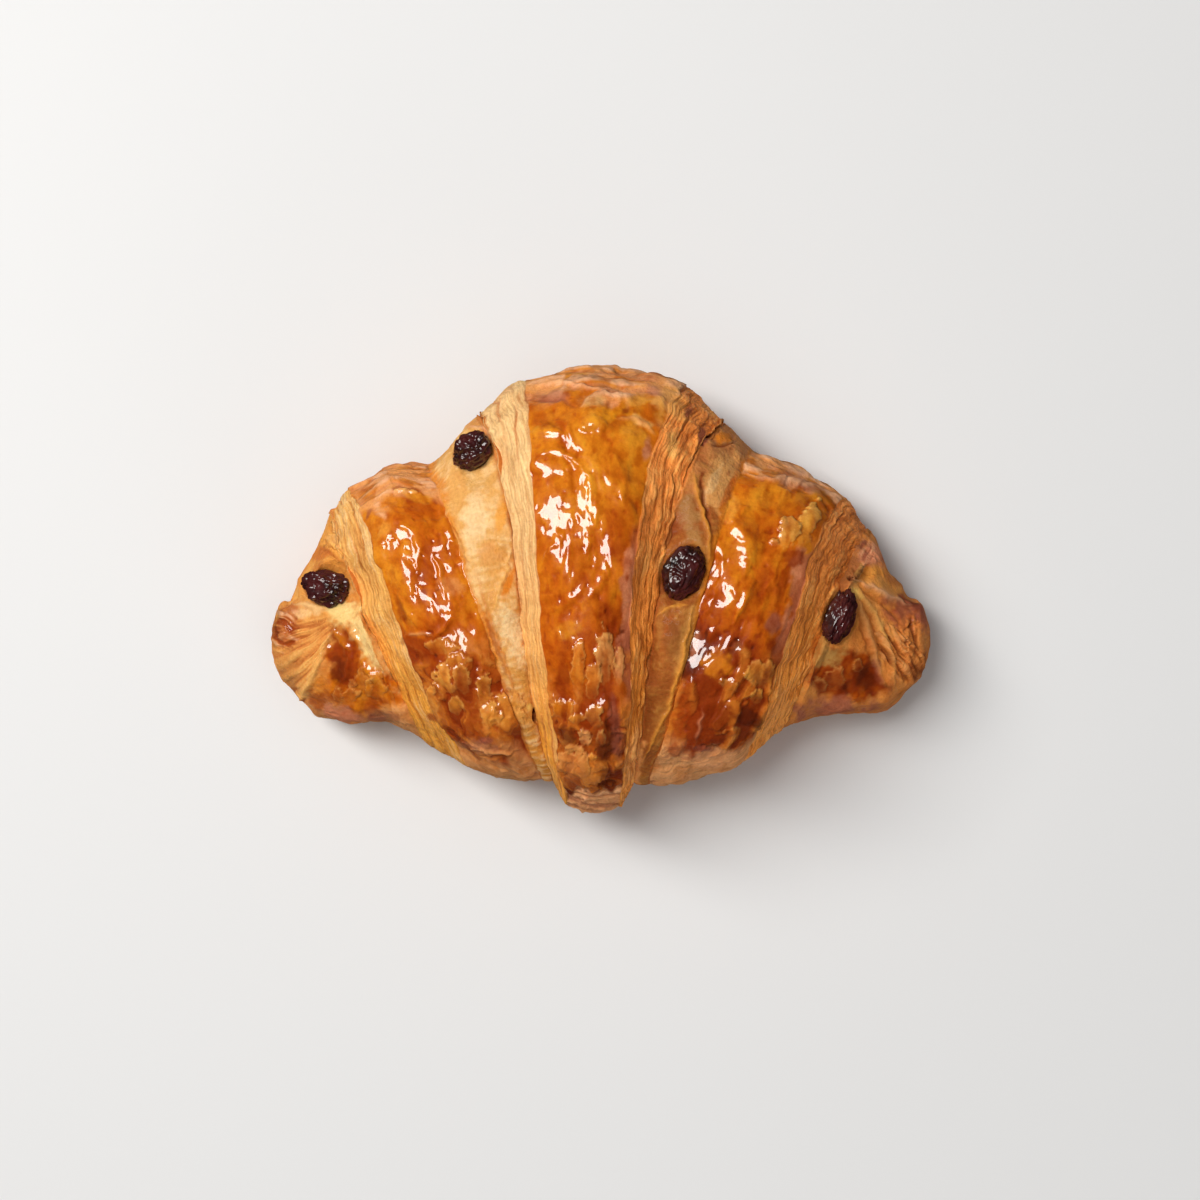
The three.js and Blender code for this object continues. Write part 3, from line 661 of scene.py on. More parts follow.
class Sleeve:
    """A grid of dough between lines: rows run round the section and columns from left to right."""

    def __init__(self, lines, zones, rows, seed):
        self.names = [name for name, _ in zones]
        self.seed = seed
        self.angle = row_angles(rows)[:, None]
        self.degrees = np.degrees(self.angle)
        side = np.cos(self.angle)
        edges = []
        for i, (places, bend, offs) in enumerate(lines):
            inner = 0 < i < len(lines) - 1
            wobble = inner * EDGE_WOBBLE * rough(self.degrees / EDGE_GRAIN, 0.0, 0.0, seed + 3 * i)
            edges.append((round_section(places, side, bend) + wobble, round_section(offs, side)))
        x, off, across, zone, share = [], [], [], [], []
        for i, (_, columns) in enumerate(zones):
            t = (np.arange(columns) + (0.5 if i == 0 else 0)) / columns
            x.append(mix(edges[i][0], edges[i + 1][0], t))
            off.append(mix(edges[i][1], edges[i + 1][1], t))
            across.append((edges[i + 1][0] - edges[i][0]) * t)
            zone += [i] * columns
            share += list(t)
        self.x, self.off, self.across = np.hstack(x), np.hstack(off), np.hstack(across)
        self.zone = np.array(zone)[None, :]
        self.t = np.array(share)[None, :] + 0 * self.x
        self.top = smooth(-0.25, 0.1, np.sin(self.angle)) + 0 * self.x
        self.under = smooth(0, 0.8, -np.sin(self.angle)) + 0 * self.x
        self.off = self.off * mix(1, RELIEF_UNDERNEATH, self.under)
        self.relief = np.zeros_like(self.x)
        self.pressed = np.zeros_like(self.x)
        self.glaze = np.zeros_like(self.x)
        self.layers = np.zeros_like(self.x)
        self.colour = np.zeros((*self.x.shape, 3)) + TAN

    def mask(self, *names):
        """1 in the columns of these zones."""
        wanted = [i for i, name in enumerate(self.names) if name in names]
        return np.isin(self.zone, wanted).astype(float) + 0 * self.x

    def pillow(self, zone, top, outline=PILLOW_OUTLINE):
        """Crowns a zone between its two edges."""
        height = mix(outline, top, smooth(0.3, 0.8, np.sin(self.angle)))
        self.off += self.mask(zone) * height * (1 - np.abs(2 * self.t - 1) ** PILLOW_POWER)

    def settle(self):
        """Fixes the form under the relief, and where the camera sees each of its points."""
        self.base = dough_point(self.x, self.angle, self.off)
        self.normal = grid_normals(self.base)
        self.top = self.top * smooth(0.0, 0.3, self.normal[..., 2])
        nearer = (CAMERA_HEIGHT - OUTLINE_HEIGHT) / (CAMERA_HEIGHT - self.base[..., 2:])
        self.plan = VIEW_CENTRE + (self.base[..., :2] - VIEW_CENTRE) * nearer
        steps = np.linalg.norm(np.diff(self.base, axis=0, append=self.base[:1]), axis=-1)
        self.along = np.cumsum(steps.mean(axis=1))[:, None] + 0 * self.x

    def paint(self, colour, share):
        share = np.clip(share, 0, 1)[..., None]
        self.colour = self.colour + (np.asarray(colour) - self.colour) * share

    def gloss(self, share):
        """Makes places at least this glossy."""
        self.glaze = np.maximum(self.glaze, share)

    def grain(self, size, seed, octaves=1, bend=(0, 0), level=0):
        """Roughness along the crust's own lines, its grain this many millimetres across and along."""
        across, along = self.across / size[0] + bend[0], self.along / size[1] + bend[1]
        return rough(across, along, level, self.seed + seed, octaves)

    def away_from(self, place):
        """How far each point lies from a place along X and Y, seen from above."""
        return np.moveaxis(self.plan - np.array(place), -1, 0)

    def oval(self, centre, half, turn):
        """Places along the two axes of an oval seen from above, 1 at its rim."""
        x, y = self.away_from(centre)
        turn = np.radians(turn)
        u = (x * np.cos(turn) + y * np.sin(turn)) / half[0]
        v = (y * np.cos(turn) - x * np.sin(turn)) / half[1]
        return u, v

    def patch(self, centre, half, turn=0, ragged=0.25, soft=0.12, grain=1.8):
        """1 in a ragged oval seen from above, and 0 outside it."""
        inside = 1 - np.hypot(*self.oval(centre, half, turn))
        near = (inside > -1.5 * ragged) & (self.top > 0)
        x, y = self.plan[near].T / grain
        edge = ragged * rough(x, y, centre[0], self.seed)
        result = np.zeros_like(self.x)
        result[near] = smooth(0, soft, inside[near] + edge)
        return result * self.top

    def fold(self, points, width):
        """1 along a curve seen from above, thinning out at its ends, and 0 away from it."""
        curve = curve_through(points)
        reach = 2.5 * width
        seen = np.all((self.plan > curve.min(0) - reach) & (self.plan < curve.max(0) + reach), axis=-1)
        seen &= self.top > 0
        places = self.plan[seen]
        bends = [0.4 * noise(*places.T / 1.6, layer, self.seed) for layer in (3.0, 8.0)]
        gaps = np.linalg.norm((places + np.stack(bends, -1))[:, None] - curve[None], axis=-1)
        nearest = gaps.argmin(axis=1) / (len(curve) - 1)
        slim = np.sqrt(np.sin(np.pi * np.clip(nearest, 0.03, 0.97)))
        result = np.zeros_like(self.x)
        result[seen] = np.exp(-((gaps.min(axis=1) / (width * slim)) ** 2)) * slim
        return result * self.top

    def crease(self, points, width, height, colour):
        """Raises or sinks a fold and colours it."""
        line = self.fold(points, width)
        self.relief += height * line
        # Painted highlight on light raised folds, painted shade in dark sunk ones, over their own tone
        self.paint(colour, 0.7 * line)

    def flake(self, centre, half, turn, lift, colour):
        """Thin crust torn loose at its back end, which melts into the crust in front."""
        ragged = 0.36
        outer = self.patch(centre, half, turn, ragged, 0.1, 1.7)
        inner = self.patch(centre, half, turn, ragged, 0.45, 1.7)
        behind = (centre[0], centre[1] + 0.35)
        wider = (half[0] + 0.5, half[1] + 0.5)
        cast_shadow = self.patch(behind, wider, turn, ragged, 0.2, 1.7) * (1 - outer)
        loose = mix(0.15, 1, smooth(-0.9, 0.3, self.oval(centre, half, turn)[1]))
        x, y = np.moveaxis(self.plan, -1, 0)
        streaks = noise(x / 1.1, y / 4, centre[1], self.seed)
        self.relief += lift * loose * (outer + 0.25 * inner)
        # Painted shadow: a rust ring just behind the flake
        self.paint(RUST, 0.5 * cast_shadow * loose)
        self.paint(colour, outer * loose * (0.55 + 0.45 * streaks))
        # Straw along the thin rim: its own lighter colour, with painted light on it
        self.paint(STRAW, 0.35 * outer * (1 - inner) * loose)

    def place(self):
        """The points with their relief and dents, none of them pushed below the croissant's base."""
        lifted = self.base + self.normal * self.relief[..., None]
        lifted[..., 2] -= self.pressed
        floor = np.minimum(self.base[..., 2], LOWEST_RELIEF)
        lifted[..., 2] = np.maximum(lifted[..., 2], floor)
        return lifted


def raisin_oval(node):
    """Centre, axes and half sizes of a raisin in metres, the last axis outwards from the dough."""
    solid = np.array([vertex.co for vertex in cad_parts[node].data.vertices])
    centre = (solid.max(axis=0) + solid.min(axis=0)) / 2
    axes = np.linalg.svd(solid - centre, full_matrices=False)[2]
    axes = axes * np.sign(axes[2, 2])
    return centre, axes, np.abs((solid - centre) @ axes.T).max(axis=0) * RAISIN_FILL[node]


def glazed_skin(sleeve, bake, name):
    """Glossy skin: swells and wrinkles, blotches where it browned, and burst bubbles."""
    band = sleeve.mask("glaze")
    sleeve.relief -= BACK_SETTLE * smooth(110, 165, sleeve.degrees)
    bend = sleeve.grain((7, 9), 1, 2)
    swell = sleeve.grain((3.8, 8), 2, 2, (0.9 * bend, 0.6 * bend))
    wrinkle = sleeve.grain((1.4, 3.2), 3, 1, (bend, bend))
    pits = smooth(0.5, 0.8, sleeve.grain((1, 1.4), 4))
    lively = 1 - 0.5 * smooth(0.25, 0.1, sleeve.t)
    for centre, half, turn in CALM[name]:
        lively = lively * (1 - 0.85 * sleeve.patch(centre, half, turn, 0.15, 0.5))
    ridges = 0
    for points, width, height in GLOSS_RIDGES[name]:
        ridges = ridges + height * sleeve.fold(points, width)
    swell = swell * lively * smooth(1, 0.2, np.abs(ridges) / 0.5)
    sleeve.relief += band * (0.33 * swell + ridges + 0.06 * wrinkle - 0.12 * pits)
    blotch = sleeve.grain((6, 10), 6, 3)
    mottle = sleeve.grain((1.6, 3.4), 8, 2)
    base = np.interp(sleeve.degrees, *zip(*bake))
    tone = base + 0.17 * blotch + 0.1 * mottle - 0.1 * swell - 0.15 * ridges + 0.15 * pits
    sleeve.paint(ramp(BAKE_COLOURS, tone), band)
    sleeve.glaze += band * mix(0.3, 1, smooth(20, 52, sleeve.degrees))


def margin(sleeve, start, end):
    """Dull rosy skin along the right edge of a glazed band."""
    edge = 0.86 + 0.07 * rough(sleeve.along / 5, 0, 0, sleeve.seed + 9)
    share = sleeve.mask("glaze") * smooth(edge, edge + 0.05, sleeve.t)
    share *= smooth(start - 8, start + 8, sleeve.degrees) * smooth(end + 8, end - 8, sleeve.degrees)
    sleeve.paint(RUSSET, 0.85 * share)
    sleeve.glaze = mix(sleeve.glaze, 0.6, share)


def back_skin(sleeve, start, colour):
    """Dull crumpled skin over the back of a band, with amber showing through."""
    line = start + 8 * sleeve.grain((5, 30), 20, 3)
    share = sleeve.mask("glaze") * smooth(line - 2, line + 4, sleeve.degrees)
    share *= 1 - smooth(205, 230, sleeve.degrees)
    thick = mix(0.25, 1, smooth(-0.4, 0.1, sleeve.grain((5, 5), 22, 3)))
    bend = 0.9 * sleeve.grain((6, 6), 0)
    crumple = sleeve.grain((9, 3.4), 24, 2, (bend, 0))
    fine = sleeve.grain((3.4, 1.1), 26, 1, (bend, 0))
    swell = sleeve.grain((7, 6), 28, 2)
    sleeve.relief += share * (0.5 * crumple + 0.06 * fine + 0.4 * swell)
    sleeve.paint(colour, 0.85 * share * thick)
    # Painted shade and highlight: rosier in the crumples' folds and pinker on their crests
    sleeve.paint(ROSE, 0.5 * share * smooth(0, -0.7, crumple + 0.3 * fine))
    sleeve.paint(PINK, 0.85 * share * smooth(0.1, 0.7, crumple + 0.3 * fine))
    sleeve.glaze = mix(sleeve.glaze, 0.2, share * thick)


def torn_layers(sleeve, start, end):
    """Layers of skin torn in terraces, the upper ones lighter, with ragged fingers towards the back."""
    degrees = sleeve.degrees + 7 * sleeve.grain((6, 12), 30, 3)
    share = sleeve.mask("glaze") * smooth(start + 6, start - 6, degrees)
    share *= smooth(end - 5, end + 5, sleeve.degrees)
    warp = 0.7 * sleeve.grain((3, 4), 32)
    field = sleeve.grain((3.2, 8.5), 34, 2, (warp, warp)) + 0.08 * sleeve.grain((1, 1.4), 36)
    sleeve.paint(RUST, share * smooth(0.1, -0.5, field) * 0.75)
    for level, lift, colour in TERRACES:
        above = share * smooth(level - 0.05, level + 0.05, field)
        sleeve.relief += lift * above
        sleeve.paint(colour, above * (0.72 + 0.3 * sleeve.grain((2, 5), 0, level=level)))
    sleeve.glaze *= 1 - 0.15 * share


def bottom_skin(sleeve, start, colour, *zones):
    """Dull browned skin low at the front, with a few thin layers that follow the outline."""
    degrees = sleeve.degrees + 7 * sleeve.grain((5, 12), 40, 3)
    share = sleeve.mask(*zones) * smooth(start + 4, start - 5, degrees)
    warp = 1.4 * sleeve.grain((4, 4), 41)
    layer = sleeve.grain((7, 2.8), 42, 2, (warp, warp))
    blotch = sleeve.grain((4, 4), 44, 2)
    cracks = smooth(0.2, 0.03, np.abs(layer)) * smooth(0.1, 0.6, blotch)
    sleeve.relief += share * (0.16 * layer - 0.2 * cracks + 0.24 * blotch)
    light = np.array(colour)
    sleeve.paint(mix(light * 0.7, light, smooth(-0.9, 0.1, layer)[..., None]), 0.9 * share)
    sleeve.paint(CARAMEL, share * 0.5 * smooth(0, 0.6, -blotch))
    sleeve.paint(MAUVE, share * 0.5 * cracks)
    sleeve.paint(STRAW, share * 0.6 * smooth(4, -10, sleeve.degrees))
    sleeve.glaze = mix(sleeve.glaze, 0.12, share)


def cut_layers(sleeve, zone, count, colours, torn):
    """Cut side of a wrap: overlapping ribbons of dough made of fine crinkled threads."""
    cut = sleeve.mask(zone)
    t, along, seed = sleeve.t, sleeve.along, sleeve.seed
    drift = 0.09 * rough(along / 17, 1.3 * t, 0, seed + 50, 2)
    drift = drift + torn * 0.05 * noise(along / 3.2, 3 * t, 0, seed + 51)
    place = (t + drift) * count
    ribbon, edge = np.floor(place), np.round(place)
    within = place - ribbon
    away = np.abs(2 * within - 1)
    depth = mix(0.3, 1, smooth(-0.2, 0.5, noise(3.7 * edge, along / 9, 0, seed + 52)))
    wander = 0.3 * noise(3 * t, along / 5, 0, seed + 53)
    thread = np.cos(2 * np.pi * (2 * place + wander + noise(ribbon, along / 11, 0, seed + 54)))
    thread = thread * smooth(-0.6, 0.3, noise(6 * t, along / 8, 0, seed + 55))
    crinkle = rough(4.5 * (t + drift), along / 1.8, 0, seed + 56, 2)
    fold = rough(3 * t, along / 5, 0, seed + 57)
    groove = depth * away**7
    sleeve.relief += cut * (0.06 * thread + 0.3 * depth * (within - 0.5) - 0.3 * groove)
    sleeve.relief += cut * ((0.01 + 0.14 * torn) * crinkle + (0.08 + 0.28 * torn) * fold)
    uneven = mix(0.25, 1, torn) * (0.35 * crinkle + 0.5 * fold)
    tone = noise(5.3 * ribbon, along / 13, 0, seed + 58) + uneven
    cut_colours(sleeve, cut, colours, torn, tone + 0.4 * thread)
    # Painted shade: each ribbon darkens towards its sunk edges, in the grooves between ribbons
    sleeve.paint(np.array(colours[-1]) * 0.75, cut * 0.8 * depth * smooth(0.72, 0.98, away))
    sleeve.layers += cut * mix(0.4, 1, torn)
    sleeve.glaze += 0.3 * cut * smooth(0.1, 0.6, noise(9 * (t + drift), along / 1.5, 0, seed + 59))


def cut_colours(sleeve, cut, colours, torn, tone):
    """Light and dark layers of a cut side, on a ground that changes from the front to the back."""
    front, back, light, dark = colours
    rise = smooth(30, 115, sleeve.degrees)
    sleeve.paint(mix(np.array(front), np.array(back), rise[..., None]), cut)
    # More light layers at the front of the torn cut sides: on the right, painted light for those sides
    lit = mix(mix(0.3, 1, torn), 0.8, rise)
    sleeve.paint(light, cut * lit * smooth(0, 0.9, tone))
    sleeve.paint(dark, cut * mix(0.3, 0.5, rise) * smooth(0, -1.1, tone))


def pale_dough(sleeve, stops, shade, silk_sheen, glaze_side):
    """Unglazed dough that rose out from under the next wrap. Painted shade darkens its hollows and the
    crevices at its edges, and a painted sheen lightens the crests of its wrinkles.
    """
    pale = sleeve.mask("pale")
    x, y, z = np.moveaxis(sleeve.base, -1, 0)
    seed = sleeve.seed
    soft = rough(x / 5, y / 8, z / 8, seed + 60, 2)
    wrinkle = noise(x / 2.5 + 1.5 * soft, y / 0.8 + soft, z / 0.8, seed + 62)
    sleeve.relief += pale * (0.4 * soft + 0.12 * wrinkle)
    sleeve.paint(ramp(stops, sleeve.degrees + 8 * soft), pale)
    # Painted shade in the hollows of its swells, and a painted silky sheen on its wrinkles' crests
    sleeve.paint(shade, pale * 0.45 * smooth(0.2, -0.6, soft + 0.3 * wrinkle))
    sleeve.paint(silk_sheen, 0.75 * pale * smooth(-0.2, 0.7, 0.6 * soft + 0.8 * wrinkle))
    from_glaze = sleeve.t if glaze_side == "left" else 1 - sleeve.t
    edge = from_glaze + 0.08 * rough(sleeve.along / 4, 0, 0, seed + 64)
    sleeve.paint(AMBER, pale * 0.7 * smooth(0.14, 0.03, edge))
    # Painted shade: darker by the glaze at the front, and at its foot in the crevice by the middle wrap
    sleeve.paint(TOAST, pale * 0.6 * smooth(0.2, 0.1, edge) * smooth(75, 50, sleeve.degrees))
    sleeve.paint(TOAST, pale * 0.7 * smooth(0.9, 0.99, from_glaze))
    sleeve.layers += 0.08 * pale
    sleeve.glaze += 0.03 * pale


def rays(sleeve, focus, low, high, inner, spacing, curl):
    """Folds that spread from a focus between two directions, with painted shade in the dark grooves
    between them and painted highlight on their crests.
    """
    x, y = sleeve.away_from(focus)
    radius = np.hypot(x, y)
    turn = np.degrees(np.arctan2(y, x)) % 360
    share = smooth(low - 5, low + 4, turn) * smooth(high + 5, high - 4, turn)
    share *= smooth(inner, inner + 4, radius) * sleeve.top
    bend = 0.8 * noise(x / 4, y / 4, 0, sleeve.seed + 14)
    fold = noise((turn + curl * radius) / spacing + bend, radius / 9, 0, sleeve.seed + 15)
    fine = noise((turn + curl * radius) * 2.7 / spacing + bend, radius / 4, 0, sleeve.seed + 16)
    height = fold + 0.5 * fine
    sleeve.relief += share * 0.5 * height
    sleeve.paint(OCHRE, 0.7 * share)
    # Painted shade in the grooves and painted highlight on the crests
    sleeve.paint(TOAST, 0.8 * share * smooth(0, -0.6, height))
    sleeve.paint(STRAW, 0.7 * share * smooth(0.1, 0.6, height))


def wrinkles(sleeve, centre, half, turn, spacing, colours, depth=0.4):
    """A patch of fine wavy wrinkles that run along its turn."""
    share = sleeve.patch(centre, half, turn, 0.25, 0.4)
    x, y = sleeve.away_from(centre)
    u, v = sleeve.oval(centre, (1, 1), turn)
    bend = 1.1 * noise(x / 3.5, y / 3.5, 0, sleeve.seed + 17)
    fold = rough(u / (6 * spacing), v / spacing + bend, 0, sleeve.seed + 18, 2)
    sleeve.relief += share * depth * fold
    dark, light = colours
    # Painted shade in the troughs of the wrinkles and painted highlight on their crests
    sleeve.paint(dark, 0.8 * share * smooth(0.05, -0.4, fold))
    sleeve.paint(light, 0.7 * share * smooth(0.05, 0.45, fold))


def horn_glaze(sleeve, centre, half, turn, tone):
    """Glossy dark patch at the front of a horn."""
    share = sleeve.patch(centre, half, turn, 0.16, 0.3, 3)
    blotch = sleeve.grain((3, 7), 11, 3)
    swell = sleeve.grain((4, 6), 12, 2)
    sleeve.relief += share * (0.3 * swell + 0.1 * blotch)
    sleeve.paint(ramp(BAKE_COLOURS, tone + 0.25 * blotch - 0.1 * swell), share)
    sleeve.gloss(share)


def marked(sleeve, *names):
    """The stains, flakes and creases that show in their own places."""
    for name in names:
        for centre, half, turn, colour, share in STAINS[name]:
            sleeve.paint(colour, share * sleeve.patch(centre, half, turn, 0.35, 0.6, 2.2))
        for crease in CREASES[name]:
            sleeve.crease(*crease)
        for flake in FLAKES.get(name, []):
            sleeve.flake(*flake)


def underside(sleeve):
    """Evenly browned and dry where the dough lay on its tray."""
    x, y, _ = np.moveaxis(sleeve.base, -1, 0)
    tone = 0.5 + 0.3 * rough(x / 9, y / 9, 1, sleeve.seed + 70)
    low = np.maximum(sleeve.under, smooth(2.5, 0.5, sleeve.base[..., 2]))
    sleeve.paint(ramp([(0, TAN), (1, BROWN)], tone), 0.85 * low)
    sleeve.glaze = sleeve.glaze * (1 - low)


def press_raisins(sleeve):
    """The dough lies below each raisin, stands up a little round it and is painted darker at its edge, a
    painted shade where the raisin meets it.
    """
    for node in RAISIN_FILL:
        centre, axes, half = raisin_oval(node)
        spread = (axes.T * half**2) @ axes
        place = sleeve.place() * MM - centre
        pull = place[..., :2] @ np.linalg.inv(spread[:2, :2])
        gap = np.sqrt((pull * place[..., :2]).sum(axis=-1))
        height = (place[..., 2] - pull @ spread[:2, 2]) / MM
        near = smooth(11, 8, np.abs(height)) * sleeve.top
        allowed = 4 * (gap - 1) + 0.1 - 1.3 * smooth(1.02, 0.85, gap)
        sleeve.pressed += near * smooth(DENT_END, DENT_FULL, gap) * np.maximum(0, height - allowed)
        sleeve.relief += near * RIM_HEIGHT * np.exp(-(((gap - RIM_PLACE) / RIM_WIDTH) ** 2))
        # Painted shade where the raisin meets the dough
        sleeve.paint(BROWN, 0.7 * near * smooth(1.04, 0.92, gap))


def middle_form():
    """The bare sleeve of the middle wrap, which swells into a tongue that ends above the base."""
    lines = [
        tucked(LEFT_MIDDLE_FOOT, TUCK),
        LEFT_MIDDLE_FOOT,
        LEFT_MIDDLE_RIM,
        RIGHT_MIDDLE_RIM,
        RIGHT_MIDDLE_FOOT,
        tucked(RIGHT_MIDDLE_FOOT, TUCK, -1),
    ]
    zones = [("under", 4), ("cut_left", 38), ("glaze", 94), ("cut_right", 44), ("under_right", 4)]
    sleeve = Sleeve(lines, zones, WRAP_ROWS, SEEDS["middle"])
    degrees = sleeve.degrees
    left, right = sleeve.mask("cut_left"), sleeve.mask("cut_right")
    width = sleeve.mask("glaze") + left * sleeve.t + right * (1 - sleeve.t)
    front = degrees < 90
    toe = np.exp(-(((degrees - TOE_ANGLE) / TOE_SPREAD) ** 2)) * front
    sleeve.off = sleeve.off + TONGUE_SWELL * width * toe
    ended = 1 - smooth(TONGUE_END - TONGUE_END_SPREAD, TONGUE_END + TONGUE_END_SPREAD, degrees)
    sleeve.pillow("glaze", PILLOW_TOP)
    sleeve.off = mix(sleeve.off, INNER_LEVEL, ended * width * front)
    sleeve.settle()
    return sleeve


def middle_wrap():
    sleeve = middle_form()
    glazed_skin(sleeve, MIDDLE_BAKE, "middle")
    margin(sleeve, 45, 100)
    back_skin(sleeve, 142, PEACH)
    torn_layers(sleeve, 64, 20)
    cut_layers(sleeve, "cut_left", 3, MIDDLE_CUT, 0.12)
    cut_layers(sleeve, "cut_right", 4, RIGHT_CUT, 0.75)
    marked(sleeve, "middle", "right_step")
    bottom_skin(sleeve, 6, TAN, "glaze")
    cut_end(sleeve)
    return sleeve


def cut_end(sleeve):
    """Blunt end of the tongue, where the rolled layers show, rough and brown."""
    across, seed = sleeve.across, sleeve.seed
    line = CUT_END_START + 5 * rough(across / 4, 0, 0, seed + 80)
    lower_line = sleeve.degrees + 5 * noise(across / 3, 0, 0, seed + 81)
    share = sleeve.mask("glaze") * smooth(line + 2, line - 2, sleeve.degrees)
    share *= smooth(TONGUE_END - 16, TONGUE_END + 2, lower_line)
    layer = sleeve.grain((5, 1.2), 82, 3, (sleeve.grain((3, 3), 0), 0))
    sleeve.relief += share * (0.6 * layer - 0.5)
    sleeve.paint(BISCUIT, share)
    sleeve.paint(MAUVE, 0.55 * share * smooth(0.2, -0.5, layer))
    sleeve.paint(PINK, 0.5 * share * smooth(0.2, 0.8, layer))
    sleeve.glaze = sleeve.glaze * (1 - share)
    cavity = sleeve.patch((1.2, -46.6), (2.2, 1.6), 15, 0.4, 0.4)
    sleeve.relief -= 0.8 * cavity
    # Painted shade: the cavity is painted near black
    sleeve.paint(BURNT, 0.8 * cavity)


def left_wrap():
    sleeve = side_wrap(LEFT_SIDE_RIM, LEFT_SIDE_FOOT, LEFT_GLAZE_LINE, LEFT_MIDDLE_FOOT, True)
    glazed_skin(sleeve, LEFT_BAKE, "left")
    back_skin(sleeve, 130, PEACH)
    torn_layers(sleeve, 72, 30)
    bottom_skin(sleeve, 32, PEACH, "glaze")
    cut_layers(sleeve, "cut_left", 4, LEFT_CUT, 0.25)
    pale_dough(sleeve, LEFT_PALE, BUTTERSCOTCH, CREAM, "left")
    marked(sleeve, "left")
    hole = sleeve.patch((-15.8, -30.2), (0.7, 2.2), -4, 0.1)
    sleeve.relief -= 1.5 * hole
    # Painted shade: the hole is painted near black
    sleeve.paint(BURNT, hole)
    return sleeve


def right_wrap():
    sleeve = side_wrap(RIGHT_SIDE_RIM, RIGHT_SIDE_FOOT, RIGHT_GLAZE_LINE, RIGHT_MIDDLE_FOOT, False)
    glazed_skin(sleeve, RIGHT_BAKE, "right")
    margin(sleeve, 72, 108)
    back_skin(sleeve, 138, PEACH)
    torn_layers(sleeve, 66, 30)
    # Painted light: the right band's low skin is painted lighter, for light thrown up onto it
    bottom_skin(sleeve, 34, APRICOT, "glaze")
    cut_layers(sleeve, "cut_right", 5, RIGHT_CUT, 0.75)
    pale_dough(sleeve, RIGHT_PALE_IN_SHADOW, BROWN, WALNUT, "right")
    wrinkles(sleeve, (22.5, 38), (3.6, 8.5), -30, 0.9, (MAUVE, TAN), 0.7)
    marked(sleeve, "right", "right_step")
    return sleeve


def side_wrap(rim, foot, glaze_line, middle_foot, on_left):
    """The bare sleeve of a wrap beside the middle one."""
    sign = 1 if on_left else -1
    lines = [
        tucked(foot, TUCK, sign),
        foot,
        rim,
        glaze_line,
        middle_foot,
        tucked(middle_foot, LAP, sign),
    ]
    cut = "cut_left" if on_left else "cut_right"
    zones = [("under", 4), (cut, 46), ("glaze", 82), ("pale", 46), ("under_right", 6)]
    seed = SEEDS["left" if on_left else "right"]
    sleeve = Sleeve(lines[::sign], zones[::sign], WRAP_ROWS, seed)
    sleeve.pillow("glaze", PILLOW_TOP)
    sleeve.pillow("pale", 0.9, 0.4)
    sleeve.settle()
    return sleeve


def horn(tip_foot, tip_rim, side_foot, on_left):
    """The sleeve of a pinched end, softly folded and evenly baked."""
    sign = 1 if on_left else -1
    end = ((-HALF_LENGTH * sign,) * 3, 0, (0, 0, 0))
    lines = [end, tip_foot, tip_rim, side_foot, tucked(side_foot, LAP, sign)]
    zones = [("horn", 84), ("lip", 8), ("tip_wrap", 30), ("under", 6)]
    seed = SEEDS["horn_left" if on_left else "horn_right"]
    sleeve = Sleeve(lines[::sign], zones[::sign], HORN_ROWS, seed)
    sleeve.settle()
    x, y, z = np.moveaxis(sleeve.base, -1, 0)
    soft = rough(x / 6, y / 6, z / 6, seed + 1)
    streak = noise(x / 1.4 + soft, y / 8, z / 8, seed + 5)
    sleeve.relief += 0.3 * soft + 0.1 * streak
    bake = (0.52 if on_left else 0.6) + 0.25 * soft + 0.14 * streak
    sleeve.paint(ramp(HORN_COLOURS, bake), 1 + 0 * x)
    return sleeve


def left_horn():
    sleeve = horn(LEFT_TIP_FOOT, LEFT_TIP_RIM, LEFT_SIDE_FOOT, True)
    bottom_skin(sleeve, 34, PEACH, *HORN_ZONES)
    rays(sleeve, (-61, -5), 194, 244, 4, 3.6, 0.5)
    horn_glaze(sleeve, (-57, -20.4), (11.4, 12), 8, 0.34)
    sleeve.paint(RUST, 0.95 * sleeve.patch((-62.6, -16), (4.6, 8.4), 8, 0.3, 0.5))
    sleeve.paint(BURNT, 0.75 * sleeve.patch((-63.2, -19), (2.6, 4.8), 8, 0.3, 0.7))
    sleeve.gloss(sleeve.patch((-61.5, -12.5), (5.5, 4.5)))
    marked(sleeve, "horn_left")
    flaky = sleeve.patch((-61.6, 13.4), (5.4, 10), -25, 0.35, 0.5)
    sleeve.layers += 0.8 * flaky
    sleeve.paint(CREAM, 0.4 * flaky * smooth(-0.1, 0.5, sleeve.grain((1.3, 14), 33)))
    wrinkles(sleeve, (-77, -10), (4.4, 6.8), -25, 1, (RUST, PINK))
    sleeve.gloss(0.6 * sleeve.patch((-77.2, -9.6), (3.2, 5)))
    wrinkles(sleeve, (-73.5, -26), (2.2, 3), 50, 0.8, (BROWN, TAN))
    return sleeve


